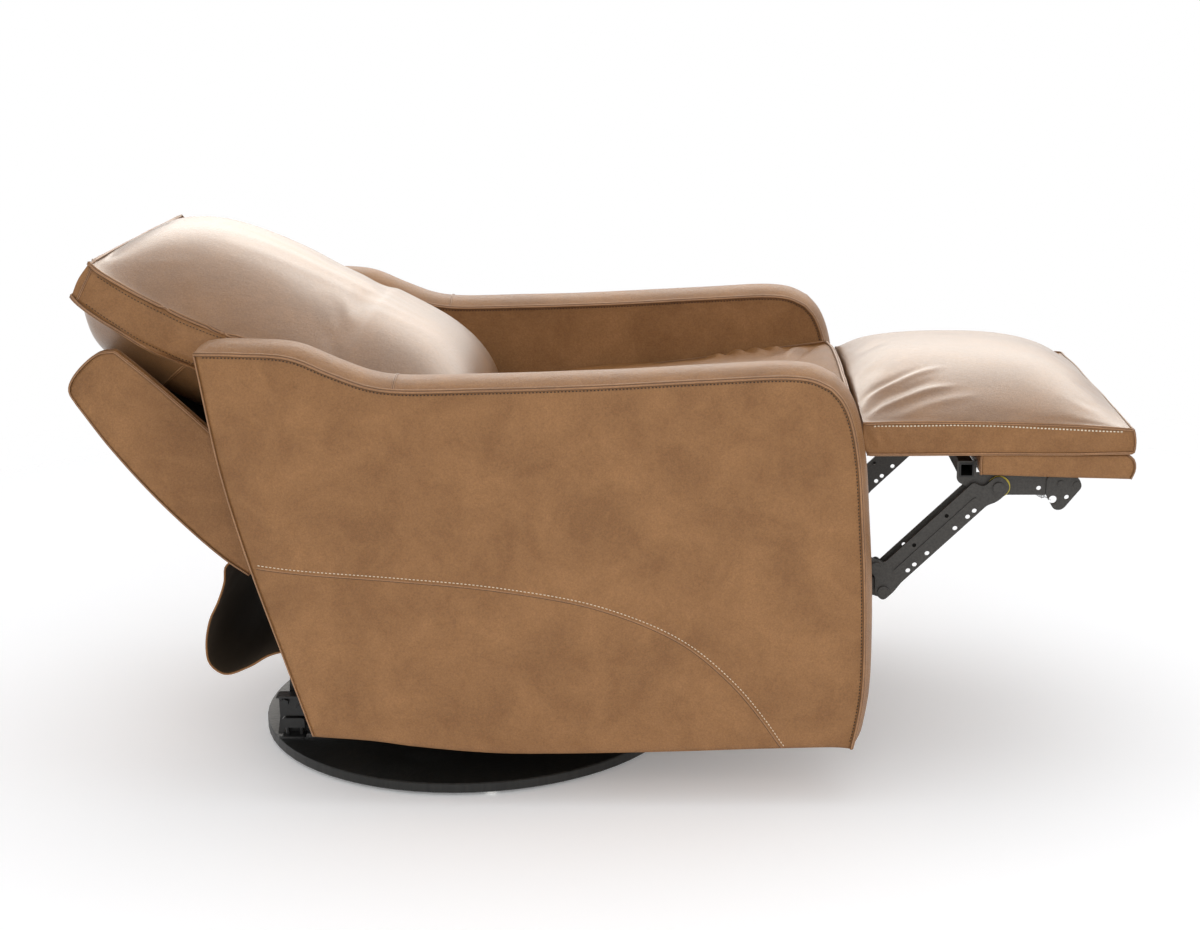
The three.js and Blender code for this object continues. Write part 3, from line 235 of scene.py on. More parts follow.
def weld(piece):
    """Joins the points that lie on each other and turns all faces outward."""
    work = bmesh.new()
    work.from_mesh(piece.data)
    bmesh.ops.remove_doubles(work, verts=work.verts, dist=0.00001)
    bmesh.ops.recalc_face_normals(work, faces=work.faces)
    work.to_mesh(piece.data)
    work.free()
    piece.data.update()


def coordinates(piece, kind="co"):
    """The points of a piece, or with the kind "normal" the directions of its surface there."""
    flat = np.empty(len(piece.data.vertices) * 3)
    piece.data.vertices.foreach_get(kind, flat)
    return flat.reshape(-1, 3)


def put_points(piece, points):
    piece.data.vertices.foreach_set("co", points.ravel())
    piece.data.update()


def fold_heights(points, folds):
    """Height of soft folds at each point. A fold is (knots, height, half width), all in millimetres."""
    heights = np.zeros(len(points))
    for knots, height, half_width in folds:
        line = place(smooth_path(knots, 14))
        nearest = np.full(len(points), np.inf)
        share = np.zeros(len(points))
        for i in range(len(line) - 1):
            step = line[i + 1] - line[i]
            along = np.clip((points - line[i]) @ step / (step @ step), 0, 1)
            gap = np.linalg.norm(points - line[i] - along[:, None] * step, axis=1)
            closer = gap < nearest
            nearest[closer] = gap[closer]
            share[closer] = (i + along[closer]) / (len(line) - 1)
        fade = np.sin(np.pi * np.clip(share, 0.02, 0.98)) ** 0.8
        heights += height / 1000 * fade * np.exp(-(nearest / (half_width / 1000)) ** 2)
    return heights


def hide_waves(points, height, size, seed):
    """Low uneven waves of a stuffed cover, in metres. Their height and size are in millimetres."""
    shift = Vector((seed * 3.1, seed * 1.7, seed * 2.3))
    waves = [noise.noise(Vector(point) * (1000 / size) + shift) for point in points]
    return np.array(waves) * height / 1000


def ruffle(cover, node_name, folds, waves, boxed_in=False):
    """Gives a cover its folds and waves, along its normals, and puts it in its node's place. A cover that is
    boxed in keeps within a few millimetres of the node's own box."""
    points = coordinates(cover)
    heights = fold_heights(points, folds) + hide_waves(points, *waves)
    points = points + coordinates(cover, "normal") * heights[:, None]
    if boxed_in:
        low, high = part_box(node_name)
        spare = 0.004
        points = np.clip(points, np.array(low) - spare, np.array(high) + spare)
    put_points(cover, points)
    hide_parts(node_name)


def stuffed(cover, held_paths, start_inset=4, pressure=3.0, growth=0.003, reach=22):
    """Fills a sewn cover by cloth simulation. The leather is cut to the cover's shape and starts slightly
    smaller. It is held along its seams and where it rests, fills out between them and puckers along them.
    The inset and the reach are in millimetres."""
    cut = coordinates(cover)
    held = np.unique(np.concatenate([seam_points(cover, path) for path in held_paths]))
    inset = np.full(len(cut), start_inset / 1000)
    inset[held] = 0
    start = cut - coordinates(cover, "normal") * inset[:, None]
    empty = cover.shape_key_add(name="empty")
    pattern = cover.shape_key_add(name="cut pattern")
    empty.data.foreach_set("co", start.ravel())
    pattern.data.foreach_set("co", cut.ravel())
    cover.vertex_groups.new(name="held").add([int(i) for i in held], 1.0, "REPLACE")
    settings = cover.modifiers.new("filling", "CLOTH").settings
    settings.rest_shape_key = pattern
    settings.quality = 6
    settings.mass = 0.3
    settings.tension_stiffness = 80
    settings.compression_stiffness = 80
    settings.shear_stiffness = 40
    settings.bending_stiffness = 1
    settings.vertex_group_mass = "held"
    settings.use_pressure = True
    settings.uniform_pressure_force = pressure
    settings.shrink_min = -growth
    settings.effector_weights.gravity = 0
    for number in range(1, 21):
        bpy.context.scene.frame_set(number)
    graph = bpy.context.evaluated_depsgraph_get()
    moved = np.array([v.co for v in cover.evaluated_get(graph).data.vertices]) - start
    cover.modifiers.clear()
    bpy.context.scene.frame_set(1)
    cover.shape_key_clear()
    length = np.linalg.norm(moved, axis=1)
    moved *= np.minimum(1, reach / 1000 / np.maximum(length, 1e-9))[:, None]
    print(f"{cover.name}: moved {1000 * length.mean():.1f} mm on average, {1000 * length.max():.1f} mm at most")
    put_points(cover, start + moved)
    free = np.setdiff1d(np.arange(len(cut)), held)
    cover.vertex_groups.new(name="free").add([int(i) for i in free], 1.0, "REPLACE")
    ease = cover.modifiers.new("ease", "SMOOTH")
    ease.factor = 0.5
    ease.iterations = 5
    ease.vertex_group = "free"
    finer = cover.modifiers.new("finer", "SUBSURF")
    finer.levels = finer.render_levels = 1
    graph = bpy.context.evaluated_depsgraph_get()
    mesh = bpy.data.meshes.new_from_object(cover.evaluated_get(graph))
    cover.modifiers.clear()
    cover.data = mesh
    cover.vertex_groups.clear()


def settle(piece, path, lift):
    """A path laid on the surface of a piece and lifted from it, with the surface normal at each point."""
    tree = BVHTree.FromPolygons(
        [Vector(v.co) for v in piece.data.vertices],
        [tuple(p.vertices) for p in piece.data.polygons],
    )
    laid, outs = [], []
    for point in path:
        spot, normal, _, _ = tree.find_nearest(Vector(point))
        laid.append(spot + normal * lift)
        outs.append(normal)
    return np.array(laid), np.array(outs)


def stitch_row(path, length, gap, radius, sides=5):
    """Small separate stitches along a path. Sizes are in millimetres."""
    count = max(2, int(run_length(path) / ((length + gap) / 1000)))
    spots = evenly(path, count + 1)
    parts = []
    turn = np.linspace(0, 2 * np.pi, sides, endpoint=False)
    for a, b in zip(spots[:-1], spots[1:]):
        ahead = (b - a) / np.linalg.norm(b - a)
        out = np.cross(ahead, [0.31, 0.52, 0.79])
        out /= np.linalg.norm(out)
        up = np.cross(ahead, out)
        ring = (out * np.cos(turn)[:, None] + up * np.sin(turn)[:, None]) * radius / 1000
        half = ahead * length / 2000
        middle = (a + b) / 2
        points = np.vstack([middle - half, middle - half * 0.6 + ring, middle + half * 0.6 + ring, middle + half])
        faces = []
        for k in range(sides):
            near, far = 1 + k, 1 + (k + 1) % sides
            faces += [(0, far, near), (near, far, far + sides, near + sides)]
            faces.append((2 * sides + 1, near + sides, far + sides))
        parts.append((points, faces))
    return joined(parts)


def stitches_on(cover, path, stitch, lift=0.0002):
    """A row of stitches laid on a cover along a path, lifted a little from it."""
    return stitch_row(settle(cover, path, lift)[0], *stitch)


# Materials


def feed(tree, target, inputs):
    """Sets inputs of a node, each to a value or to the output of another node."""
    for key, value in inputs.items():
        if isinstance(value, bpy.types.NodeSocket):
            tree.links.new(value, target.inputs[key])
        else:
            target.inputs[key].default_value = value


def node(tree, kind, inputs=None, output=None, **settings):
    """A new node with its settings and inputs, or the named output of it."""
    made = tree.nodes.new(kind)
    for key, value in settings.items():
        setattr(made, key, value)
    feed(tree, made, inputs or {})
    return made.outputs[output] if output else made


def math_node(tree, operation, a, b):
    return node(tree, "ShaderNodeMath", {0: a, 1: b}, "Value", operation=operation)


def new_material(name):
    material = bpy.data.materials.new(name)
    material.use_nodes = True
    tree = material.node_tree
    return material, tree, tree.nodes["Principled BSDF"]


def ramp(tree, factor, low, high):
    """A colour that goes from one tone to another as the factor goes between two positions."""
    made = node(tree, "ShaderNodeValToRGB", {"Fac": factor})
    for element, (position, color) in zip(made.color_ramp.elements, (low, high)):
        element.position = position
        element.color = (*color, 1)
    return made.outputs["Color"]


def leather_group():
    """Mottled pull-up leather: cloudy colour between two tans, pores and fine creases, uneven gloss."""
    group = bpy.data.node_groups.new("mottled leather", "ShaderNodeTree")
    for name, in_out, kind in (
        ("Cloud Tan", "INPUT", "Color"),
        ("Dusk Tan", "INPUT", "Color"),
        ("Cloud Size", "INPUT", "Float"),
        ("Grain", "INPUT", "Float"),
        ("Color", "OUTPUT", "Color"),
        ("Roughness", "OUTPUT", "Float"),
        ("Normal", "OUTPUT", "Vector"),
    ):
        group.interface.new_socket(name, in_out=in_out, socket_type=f"NodeSocket{kind}")
    enter = group.nodes.new("NodeGroupInput").outputs
    where = node(group, "ShaderNodeTexCoord", output="Object")
    clouds = node(group, "ShaderNodeTexNoise", {
        "Vector": where, "Scale": enter["Cloud Size"], "Detail": 8.0, "Roughness": 0.68, "Distortion": 0.35,
    }, "Fac")
    soft = ramp(group, clouds, (0.37, (0, 0, 0)), (0.63, (1, 1, 1)))
    tone = node(group, "ShaderNodeMix", {
        "Factor": soft, "A": enter["Dusk Tan"], "B": enter["Cloud Tan"],
    }, "Result", data_type="RGBA")
    flecks = node(group, "ShaderNodeTexNoise", {
        "Vector": where, "Scale": 420.0, "Detail": 3.0, "Roughness": 0.7,
    }, "Fac")
    shade = ramp(group, flecks, (0.3, (0.79, 0.78, 0.77)), (0.7, (1.13, 1.12, 1.11)))
    stained = node(group, "ShaderNodeMix", {
        "Factor": 1.0, "A": tone, "B": shade,
    }, "Result", data_type="RGBA", blend_type="MULTIPLY")
    gloss = node(group, "ShaderNodeMapRange", {"Value": clouds, "To Min": 0.36, "To Max": 0.52}, "Result")
    creases = node(group, "ShaderNodeTexNoise", {
        "Vector": where, "Scale": 160.0, "Detail": 5.0, "Roughness": 0.65,
    }, "Fac")
    pores = node(group, "ShaderNodeTexVoronoi", {
        "Vector": where, "Scale": 560.0, "Randomness": 1.0,
    }, "Distance", feature="DISTANCE_TO_EDGE")
    pore_depth = node(group, "ShaderNodeMapRange", {"Value": pores, "From Max": 0.08, "To Max": 0.35}, "Result")
    relief = math_node(group, "MULTIPLY", math_node(group, "ADD", creases, pore_depth), enter["Grain"])
    bump = node(group, "ShaderNodeBump", {"Height": relief, "Strength": 0.75, "Distance": 0.0009}, "Normal")
    node(group, "NodeGroupOutput", {"Color": stained, "Roughness": gloss, "Normal": bump})
    return group


def leather(name, cloud, dusk, cloud_size, grain, coat, specular=0.4):
    material, tree, shader = new_material(name)
    hide = node(tree, "ShaderNodeGroup", {
        "Cloud Tan": (*cloud, 1), "Dusk Tan": (*dusk, 1), "Cloud Size": cloud_size, "Grain": grain,
    }, node_tree=LEATHER).outputs
    feed(tree, shader, {
        "Base Color": hide["Color"], "Roughness": hide["Roughness"], "Normal": hide["Normal"], "Coat Weight": coat,
        "Coat Roughness": 0.37, "Coat IOR": 1.65, "Specular IOR Level": specular,
    })
    return material


def finish(name, color, roughness, metallic=0.0, speckle=0.25, grain=260.0, depth=0.0002, upright=1.0):
    """A plain finish with a little unevenness in colour, gloss and surface, drawn out upright below 1."""
    material, tree, shader = new_material(name)
    where = node(tree, "ShaderNodeTexCoord", output="Object")
    drawn = node(tree, "ShaderNodeMapping", {"Vector": where, "Scale": (1.0, 1.0, upright)}, "Vector")
    spots = node(tree, "ShaderNodeTexNoise", {"Vector": drawn, "Scale": grain, "Detail": 4.0}, "Fac")
    dark = tuple(c * (1 - speckle) for c in color)
    light = tuple(min(1.0, c * (1 + speckle)) for c in color)
    duller, rougher = roughness * 0.85, min(1.0, roughness * 1.15)
    feed(tree, shader, {
        "Base Color": ramp(tree, spots, (0.3, dark), (0.7, light)),
        "Roughness": node(tree, "ShaderNodeMapRange", {"Value": spots, "To Min": duller, "To Max": rougher}, "Result"),
        "Normal": node(tree, "ShaderNodeBump", {"Height": spots, "Strength": 0.4, "Distance": depth}, "Normal"),
        "Metallic": metallic,
    })
    return material


LEATHER = leather_group()
TAN = leather("tan leather", (0.366, 0.177, 0.064), (0.267, 0.122, 0.0395), 11.0, 1.3, 0.04)
TAN_PULLED = leather("tan leather pulled tight", (0.345, 0.168, 0.062), (0.26, 0.122, 0.041), 8.0, 2.3, 0.85)
# The seat's tans are darker than the tan leather's: painted shade for the seat lying between the arms. Its gloss is
# turned down as well.
TAN_SEAT_SHADED = leather("tan seat leather", (0.33, 0.155, 0.053), (0.245, 0.11, 0.034), 9.0, 1.2, 0.0, 0.2)
WELT_TAN = leather("welt leather", (0.4, 0.198, 0.08), (0.3, 0.145, 0.056), 14.0, 0.6, 0.3)
# Painted shade for the crevices of seams and welts
SEAM_DARK = finish("seam shadow", (0.1, 0.051, 0.026), 0.7)
THREAD_CREAM = finish("cream thread", (0.84, 0.74, 0.58), 0.65, speckle=0.1)
THREAD_TAN = finish("tan thread", (0.3, 0.15, 0.06), 0.65, speckle=0.1)
THREAD_BROWN = finish("brown thread", (0.05, 0.028, 0.016), 0.7)
FLAP_BACKING = finish("flap backing", (0.05, 0.034, 0.018), 0.95, speckle=0.35, grain=700.0, depth=0.0006)
STEEL = finish("satin dark steel", (0.052, 0.048, 0.043), 0.42, 0.35, grain=340.0)
# Its strong upright light and dark streaks paint the light and shade of the rim's fine ripples; the bump shapes the
# ripples as well
BOARD_BLACK = finish(
    "black lacquered board", (0.011, 0.011, 0.0095), 0.45, speckle=0.5, grain=150.0, depth=0.0012, upright=0.04,
)
# Darker than the satin dark steel: painted shade for the glider parts lying under the chair
GLIDER_SHADED_BLACK = finish("black steel in painted shade", (0.016, 0.016, 0.015), 0.36, 0.1, grain=200.0)
TUBE_BLACK = finish("black painted tube", (0.012, 0.011, 0.01), 0.5)
ZINC = finish("bright zinc", (0.62, 0.63, 0.64), 0.28, 1.0, speckle=0.12)
YELLOW_PLASTIC = finish("yellow washer plastic", (0.62, 0.5, 0.05), 0.45, speckle=0.1)
WHITE_PLASTIC = finish("white glide plastic", (0.8, 0.79, 0.76), 0.4, speckle=0.06)
BEECH = finish("frame timber", (0.5, 0.33, 0.17), 0.62, speckle=0.18, grain=60.0)
WEBBING = finish("black deck cloth", (0.03, 0.028, 0.026), 0.9, grain=900.0, depth=0.0005)

CAD_FINISHES = {
    "leather": TAN,
    "black_steel": STEEL,
    "black_board": BOARD_BLACK,
    "zinc": ZINC,
    "white_plastic": WHITE_PLASTIC,
    "timber": BEECH,
    "webbing": WEBBING,
}


def dress_frame():
    """The rigid nodes keep their shape and get their finish by material slot."""
    slots = {part["node"]: part["material_slot"] for part in frame["record"]["subparts"]}
    for name, part in frame["nodes"].items():
        coating = CAD_FINISHES[slots[name]]
        if name == "footrest_cross_tube":
            coating = TUBE_BLACK
        # The glider, hanger, link, carriage and swivel parts take the darker steel, painted shade for where they sit
        # under the chair
        if name.startswith(("glider_rail", "hanger", "swing_link", "carriage_", "swivel_lower", "turntable")):
            coating = GLIDER_SHADED_BLACK
        for material_slot in part.material_slots:
            material_slot.material = coating


# Seams


def seam(cover, path, radius=1.7, shade_radius=0.85):
    """A double welt along the points of a cover that are nearest to a path."""
    indices = seam_points(cover, path)
    return welt(coordinates(cover)[indices], coordinates(cover, "normal")[indices], radius, shade_radius)


def welt(points, outs, radius=1.6, shade_radius=0.85, spacing=5):
    """Two beads with dark lines between and beside them, painted shade of the seam's crevices. Sizes are in
    millimetres.
    """
    count = max(8, int(run_length(points) * 1000 / spacing))
    path, out = (resampled(rows, distances(points), count) for rows in (points, outs))
    out = out / np.maximum(np.linalg.norm(out, axis=1), 1e-9)[:, None]
    r = radius / 1000
    across = np.cross(directions(path), out) * r
    lift = path + out * r * 0.35
    beads = [tube(lift + across, r, 8), tube(lift - across, r, 8)]
    # The dark lines are painted shade: one in the crease between the beads, two where the beads meet the leather
    lines = [tube(path + out * r * 0.68, shade_radius / 1000, 6)]
    lines += [tube(path + across * step, shade_radius / 2200, 5) for step in (2.0, -2.0)]
    return joined(beads), joined(lines)


def sew_on(name, welts, body):
    """The beads and the painted shade lines of several welts as two pieces."""
    for k, (kind, material) in enumerate((("welts", WELT_TAN), ("seam_shade_lines", SEAM_DARK))):
        make_piece(f"{name}_{kind}", *joined([part[k] for part in welts]), material, body)


def sew_thread(name, rows, material, body):
    make_piece(name, *joined(rows), material, body)


# Boxed covers


def outline(run, count):
    """Evenly spaced points along a run. A run made of several parts keeps the corners between them."""
    if isinstance(run[0], list):
        parts = [smooth_path(part, 60)[:-1] for part in run] + [np.array(run[-1][-1:], float)]
        return evenly(np.vstack(parts), count)
    return smooth_path(run, count)


def coons_grid(bottom, top, rear, front):
    """A grid of points in X and Z inside four edges. Bottom and top run the same way, rear and front too."""
    s = np.linspace(0, 1, len(bottom))[:, None, None]
    v = np.linspace(0, 1, len(rear))[None, :, None]
    flat = (1 - v) * bottom[:, None] + v * top[:, None] + (1 - s) * rear[None] + s * front[None]
    corners = (1 - s) * (1 - v) * bottom[0] + s * (1 - v) * bottom[-1] + (1 - s) * v * top[0] + s * v * top[-1]
    return flat - corners


def edge_rise(spots, edge, puff, roll):
    """How far a panel swells inside its edge: soft at the edge, full further in."""
    gap = np.sqrt(((spots[:, None] - edge[None]) ** 2).sum(axis=2)).min(axis=1)
    return puff * (1 - np.exp(-gap / roll))


def boxed_cover(name, side_runs, middle_runs, half_width, fullness, body, material,
                spacing=9, stations=44, puff=4.0, tuck=0.0, dull=None, dull_runs=()):
    """A stuffed cover between four seams. Its outline goes round in X and Z, from the side runs at both ends
    to the middle runs halfway across. The fullness is one number or one for each run: the higher, the boxier.
    The ends and the dull runs may have a duller leather. Returns the piece and a table of its points for laying
    seams."""
    counts = [max(3, round(run_length(outline(run, 60)) / spacing) + 1) for run in side_runs]
    counts = [max(counts[0], counts[2]), max(counts[1], counts[3])] * 2
    edges = [outline(run, count) for run, count in zip(side_runs, counts)]
    side = np.vstack([edge[:-1] for edge in edges])
    middle = np.vstack([outline(run, count)[:-1] for run, count in zip(middle_runs, counts)])
    loop = len(side)
    share = np.sin(np.linspace(-np.pi / 2, np.pi / 2, stations))
    share = 0.55 * share + 0.45 * np.linspace(-1, 1, stations)
    powers = np.concatenate([np.full(count - 1, power) for count, power in zip(counts, np.broadcast_to(fullness, 4))])
    powers = sum(np.roll(powers, k) for k in range(-3, 4)) / 7
    swell = 1 - np.abs(share)[None, :] ** powers[:, None]
    flat = side[:, None] + (middle - side)[:, None] * swell[..., None]
    middle_x = (side[:, 0].min() + side[:, 0].max()) / 2
    reach_x = (side[:, 0].max() - side[:, 0].min()) / 2

    def half_at(x):
        return half_width - tuck * np.clip(1 - ((x - middle_x) / reach_x) ** 2, 0, 1)

    y = share[None, :] * half_at(side[:, 0])[:, None]
    points = np.stack([flat[..., 0], y, flat[..., 1]], axis=2)
    parts = [(place(points.reshape(-1, 3)), grid_faces(loop, stations, closed=True))]
    panel = coons_grid(edges[0], edges[2][::-1], edges[3][::-1], edges[1])
    spots = panel.reshape(-1, 2)
    rise = edge_rise(spots, side, puff, 6)
    for end in (-1, 1):
        ends = np.stack([spots[:, 0], end * (half_at(spots[:, 0]) + rise), spots[:, 1]], axis=1)
        parts.append((place(ends), grid_faces(counts[0], counts[1])))
    all_points, faces = joined(parts)
    piece = make_piece(name, all_points, faces, material, body, sharp=50)
    if dull:
        piece.data.materials.append(dull)
        run_of_row = np.repeat(range(4), [count - 1 for count in counts])
        for polygon in piece.data.polygons:
            row = polygon.index // (stations - 1)
            polygon.material_index = 1 if row >= loop or run_of_row[row] in dull_runs else 0
    weld(piece)
    starts = [0, counts[0] - 1, counts[0] + counts[1] - 2, 2 * counts[0] + counts[1] - 3]
    table = {"starts": starts, "loop": loop, "stations": stations, "last": stations - 1, "points": parts[0][0]}
    return piece, table


def seam_points(cover, path):
    """The numbers of the cover's points nearest to a path."""
    points = coordinates(cover)
    found = []
    for spot in path:
        index = int(np.argmin(((points - spot) ** 2).sum(axis=1)))
        if not found or found[-1] != index:
            found.append(index)
    return np.array(found)


def row_across(table, row):
    """The points across a cover in one row of its grid."""
    first = row * table["stations"]
    return table["points"][first:first + table["stations"]]


def run_start(table, run):
    """The points across a cover where a run starts."""
    return row_across(table, table["starts"][run] % table["loop"])


def side_points(table, first_run, last_run, station):
    """The outline at one station, from the start of one run to the start of another."""
    a, b = table["starts"][first_run], table["starts"][last_run]
    rows = range(a, b + 1) if b > a else [*range(a, table["loop"]), *range(0, b + 1)]
    return table["points"][[(row % table["loop"]) * table["stations"] + station for row in rows]]


def side_loops(table):
    """The outline at both ends, where the side panels are sewn on."""
    return [table["points"][station::table["stations"]] for station in (0, table["last"])]


def rows_between(table, first_run, last_run):
    """All grid points from the start of one run to the start of another."""
    a, b = table["starts"][first_run], table["starts"][last_run]
    return table["points"][a * table["stations"]:(b + 1) * table["stations"]]


def three_sides(table, run, crossing):
    """The edge of the panel that a run makes: along both ends, and across where the crossing run starts."""
    near, far = (side_points(table, run, run + 1, station) for station in (0, table["last"]))
    if crossing == run:
        near = near[::-1]
    else:
        far = far[::-1]
    return np.vstack([near, run_start(table, crossing)[1:], far[1:]])


# Arms

ARM_TOP = [(-319, 647), (-260, 646), (-194, 641), (-142, 620), (-96, 603), (-59, 597), (57, 598), (216, 603),
           (365, 611), (469, 615), (500, 611), (524, 600)]
ARM_FRONT = [(524, 600), (539, 583), (551, 556), (562, 501), (569, 417), (575, 303), (575, 171), (568, 119),
             (561, 86)]
ARM_REAR = [(-188, 105), (-223, 221), (-263, 356), (-294, 485), (-315, 620), (-319, 647)]
ARM_BOTTOM = [(-188, 105), (-106, 98), (-49, 90), (67, 80), (144, 79), (323, 83), (466, 87), (544, 88), (561, 86)]
SIDE_SEAM = [(-253, 351), (-196, 344), (-60, 333), (76, 319), (213, 292), (323, 244), (392, 185), (434, 133),
             (464, 87)]


def arm_panel(side, distance, puff, columns=128, rows=74):
    """The flat side of an arm: a cover that swells a little inside its welts."""
    runs = [outline(run, count) for run, count in (
        (ARM_BOTTOM, columns), (ARM_TOP, columns), (ARM_REAR, rows), (ARM_FRONT[::-1], rows))]
    spots = coons_grid(*runs).reshape(-1, 2)
    rise = edge_rise(spots, np.vstack(runs), puff, 14)
    return placed_at(spots, side * (distance + rise)), grid_faces(columns, rows)


def band_crown(share):
    return ARM_CROWN * (1 - np.abs(share) ** 2.2)


def cross_band(path, share, rise, side):
    """A band across an arm, along a path in X and Z. The rise lifts it to the left of the path's run."""
    flat = path[:, None] + outward(path)[:, None] * rise[..., None]
    y = np.broadcast_to(side * (ARM_MIDDLE + share * ARM_HALF), flat.shape[:2])
    points = np.stack([flat[..., 0], y, flat[..., 1]], axis=2)
    return place(points.reshape(-1, 3)), grid_faces(len(path), len(share))


def arm_band(side, columns=18):
    """The crowned band over the top and down the front, with its rear end closed."""
    path = np.vstack([smooth_path(ARM_TOP, 110)[:-1], smooth_path(ARM_FRONT, 78)])
    share = np.linspace(-1, 1, columns)
    share = np.sin(share * np.pi / 2) * 0.5 + share * 0.5
    run = distances(path)
    ends = np.clip(run / 30, 0, 1) ** 0.5 * np.clip((run[-1] - run) / 18, 0, 1) ** 0.5
    points, faces = cross_band(path, share, band_crown(share) * (0.35 + 0.65 * ends[:, None]), side)
    return points, [*faces, tuple(range(columns))]


def arm_strip(path, side, crown, columns=8):
    share = np.linspace(-1, 1, columns)
    return cross_band(path, share, crown * (1 - share**2)[None], side)


ARM_FOLDS = [
    ([(-128, 355, 600), (-150, 355, 572), (-182, 355, 545)], 1.6, 9),
    ([(-98, 355, 590), (-118, 355, 560), (-150, 355, 535)], 1.4, 9),
    ([(-66, 355, 584), (-80, 355, 556), (-106, 355, 532)], 1.2, 10),
    ([(-160, 355, 615), (-190, 355, 590), (-222, 355, 570)], 1.3, 9),
    ([(-305, 355, 630), (-288, 355, 585), (-282, 355, 540)], 1.2, 8),
    ([(-20, 355, 585), (-30, 355, 560), (-52, 355, 540)], 0.9, 12),
]


def make_arm(side, name):
    body = "carriage"
    points, faces = joined([
        arm_panel(side, ARM_OUTER, 3.5),
        arm_panel(side, ARM_INNER, -0.5),
        arm_band(side),
        arm_strip(smooth_path(ARM_REAR, 74), side, 3),
        arm_strip(smooth_path(ARM_BOTTOM, 128)[::-1], side, 0),
    ])
    cover = make_piece(f"{name}_cover", points, faces, TAN, body, sharp=60)
    weld(cover)
    folds = [([(x, side * y, z) for x, y, z in knots], height, width) for knots, height, width in ARM_FOLDS]
    ruffle(cover, name, folds, (0.8, 120, 1 if side > 0 else 2))

    path = np.vstack([smooth_path(ARM_TOP, 170)[:-1], smooth_path(ARM_FRONT, 116)])
    up = outward(path)
    rear = smooth_path(ARM_REAR, 60)
    edges = ((side * ARM_OUTER, side), (side * ARM_INNER, -side))
    welts, dark_rows = [], []
    for y, outside in edges:
        out = np.stack([up[:, 0], np.full(len(up), outside * 0.85), up[:, 1]], axis=1)
        out /= np.linalg.norm(out, axis=1)[:, None]
        welts.append(welt(placed_at(path, y), out))
        dark_rows.append(stitches_on(cover, placed_at(path - up * 4.8, y)[2:-2], EDGE_STITCH))
    for y, outside in edges:
        out = np.tile([-0.9, 0.45 * outside, 0.1], (len(rear), 1))
        welts.append(welt(placed_at(rear, y), out / np.linalg.norm(out[0]), radius=1.1, shade_radius=0.4))
    # The short cross seam where the band's two lengths meet
    share = np.linspace(-1, 1, 20)
    crown = np.stack([np.full(20, -59.0), 597.5 + band_crown(share)], axis=1)
    laid, outs = settle(cover, placed_at(crown, side * (ARM_MIDDLE + share * ARM_HALF)), 0.0)
    welts.append(welt(laid, outs, radius=0.9, shade_radius=0.6))
    sew_on(name, welts, body)
    sew_thread(f"{name}_edge_thread", dark_rows, THREAD_BROWN, body)

    # The lapped seam across the outer panel, with a painted shadow line below the lap and its cream row above it
    line = smooth_path(SIDE_SEAM, 150)
    up = outward(line)
    y = side * (ARM_OUTER + 4)
    lap, _ = settle(cover, placed_at(line, y), -0.0004)
    shade, _ = settle(cover, placed_at(line - up * 1.5, y), -0.0002)
    make_piece(f"{name}_lap", *tube(lap, 0.0013, 6), WELT_TAN, body)
    make_piece(f"{name}_lap_shadow", *tube(shade, 0.0005, 5), SEAM_DARK, body)
    cream = stitches_on(cover, placed_at(line + up * 4.2, y), SIDE_STITCH, 0.00025)
    sew_thread(f"{name}_side_thread", [cream], THREAD_CREAM, body)


# Inner back cushion

BACK_ALONG = np.array([-0.887, 0.462])
BACK_OUT = np.array([0.462, 0.887])
BACK_PIVOT = np.array([-55.0, 497.0])


def on_back(knots):
    """Knots given along the back from its pivot and out of its front, as X and Z."""
    return [tuple(BACK_PIVOT + s * BACK_ALONG + t * BACK_OUT) for s, t in knots]


BACK_SIDE = [
    [(498, 28), (484, 24), (469, 22), (446, 20), (415, 18), (385, 18), (356, 18), (327, 20), (298, 23), (246, 32),
     (195, 38), (130, 44)],
    [(130, 44), (20, 49), (-36, 48), (-68, 32), (-85, 5), (-84, -32), (-55, -73), (0, -86), (40, -77)],
    [(40, -77), (120, -58), (197, -43), (302, -37), (359, -43), (389, -43), (420, -40), (451, -38), (489, -32),
     (502, -26)],
    [(502, -26), (503, 0), (498, 28)],
]
BACK_MIDDLE = [
    [(498, 27), (489, 47), (470, 68), (440, 89), (400, 106), (340, 117), (281, 120), (225, 119), (169, 120),
     (130, 121)],
    [(130, 121), (30, 115), (-25, 97), (-66, 64), (-90, 15), (-88, -35), (-57, -80), (0, -99), (40, -106)],
    [(40, -106), (110, -114), (173, -118), (274, -118), (335, -118), (407, -115), (440, -109), (470, -94), (492, -62),
     (502, -27)],
    [(502, -27), (508, 0), (498, 27)],
]


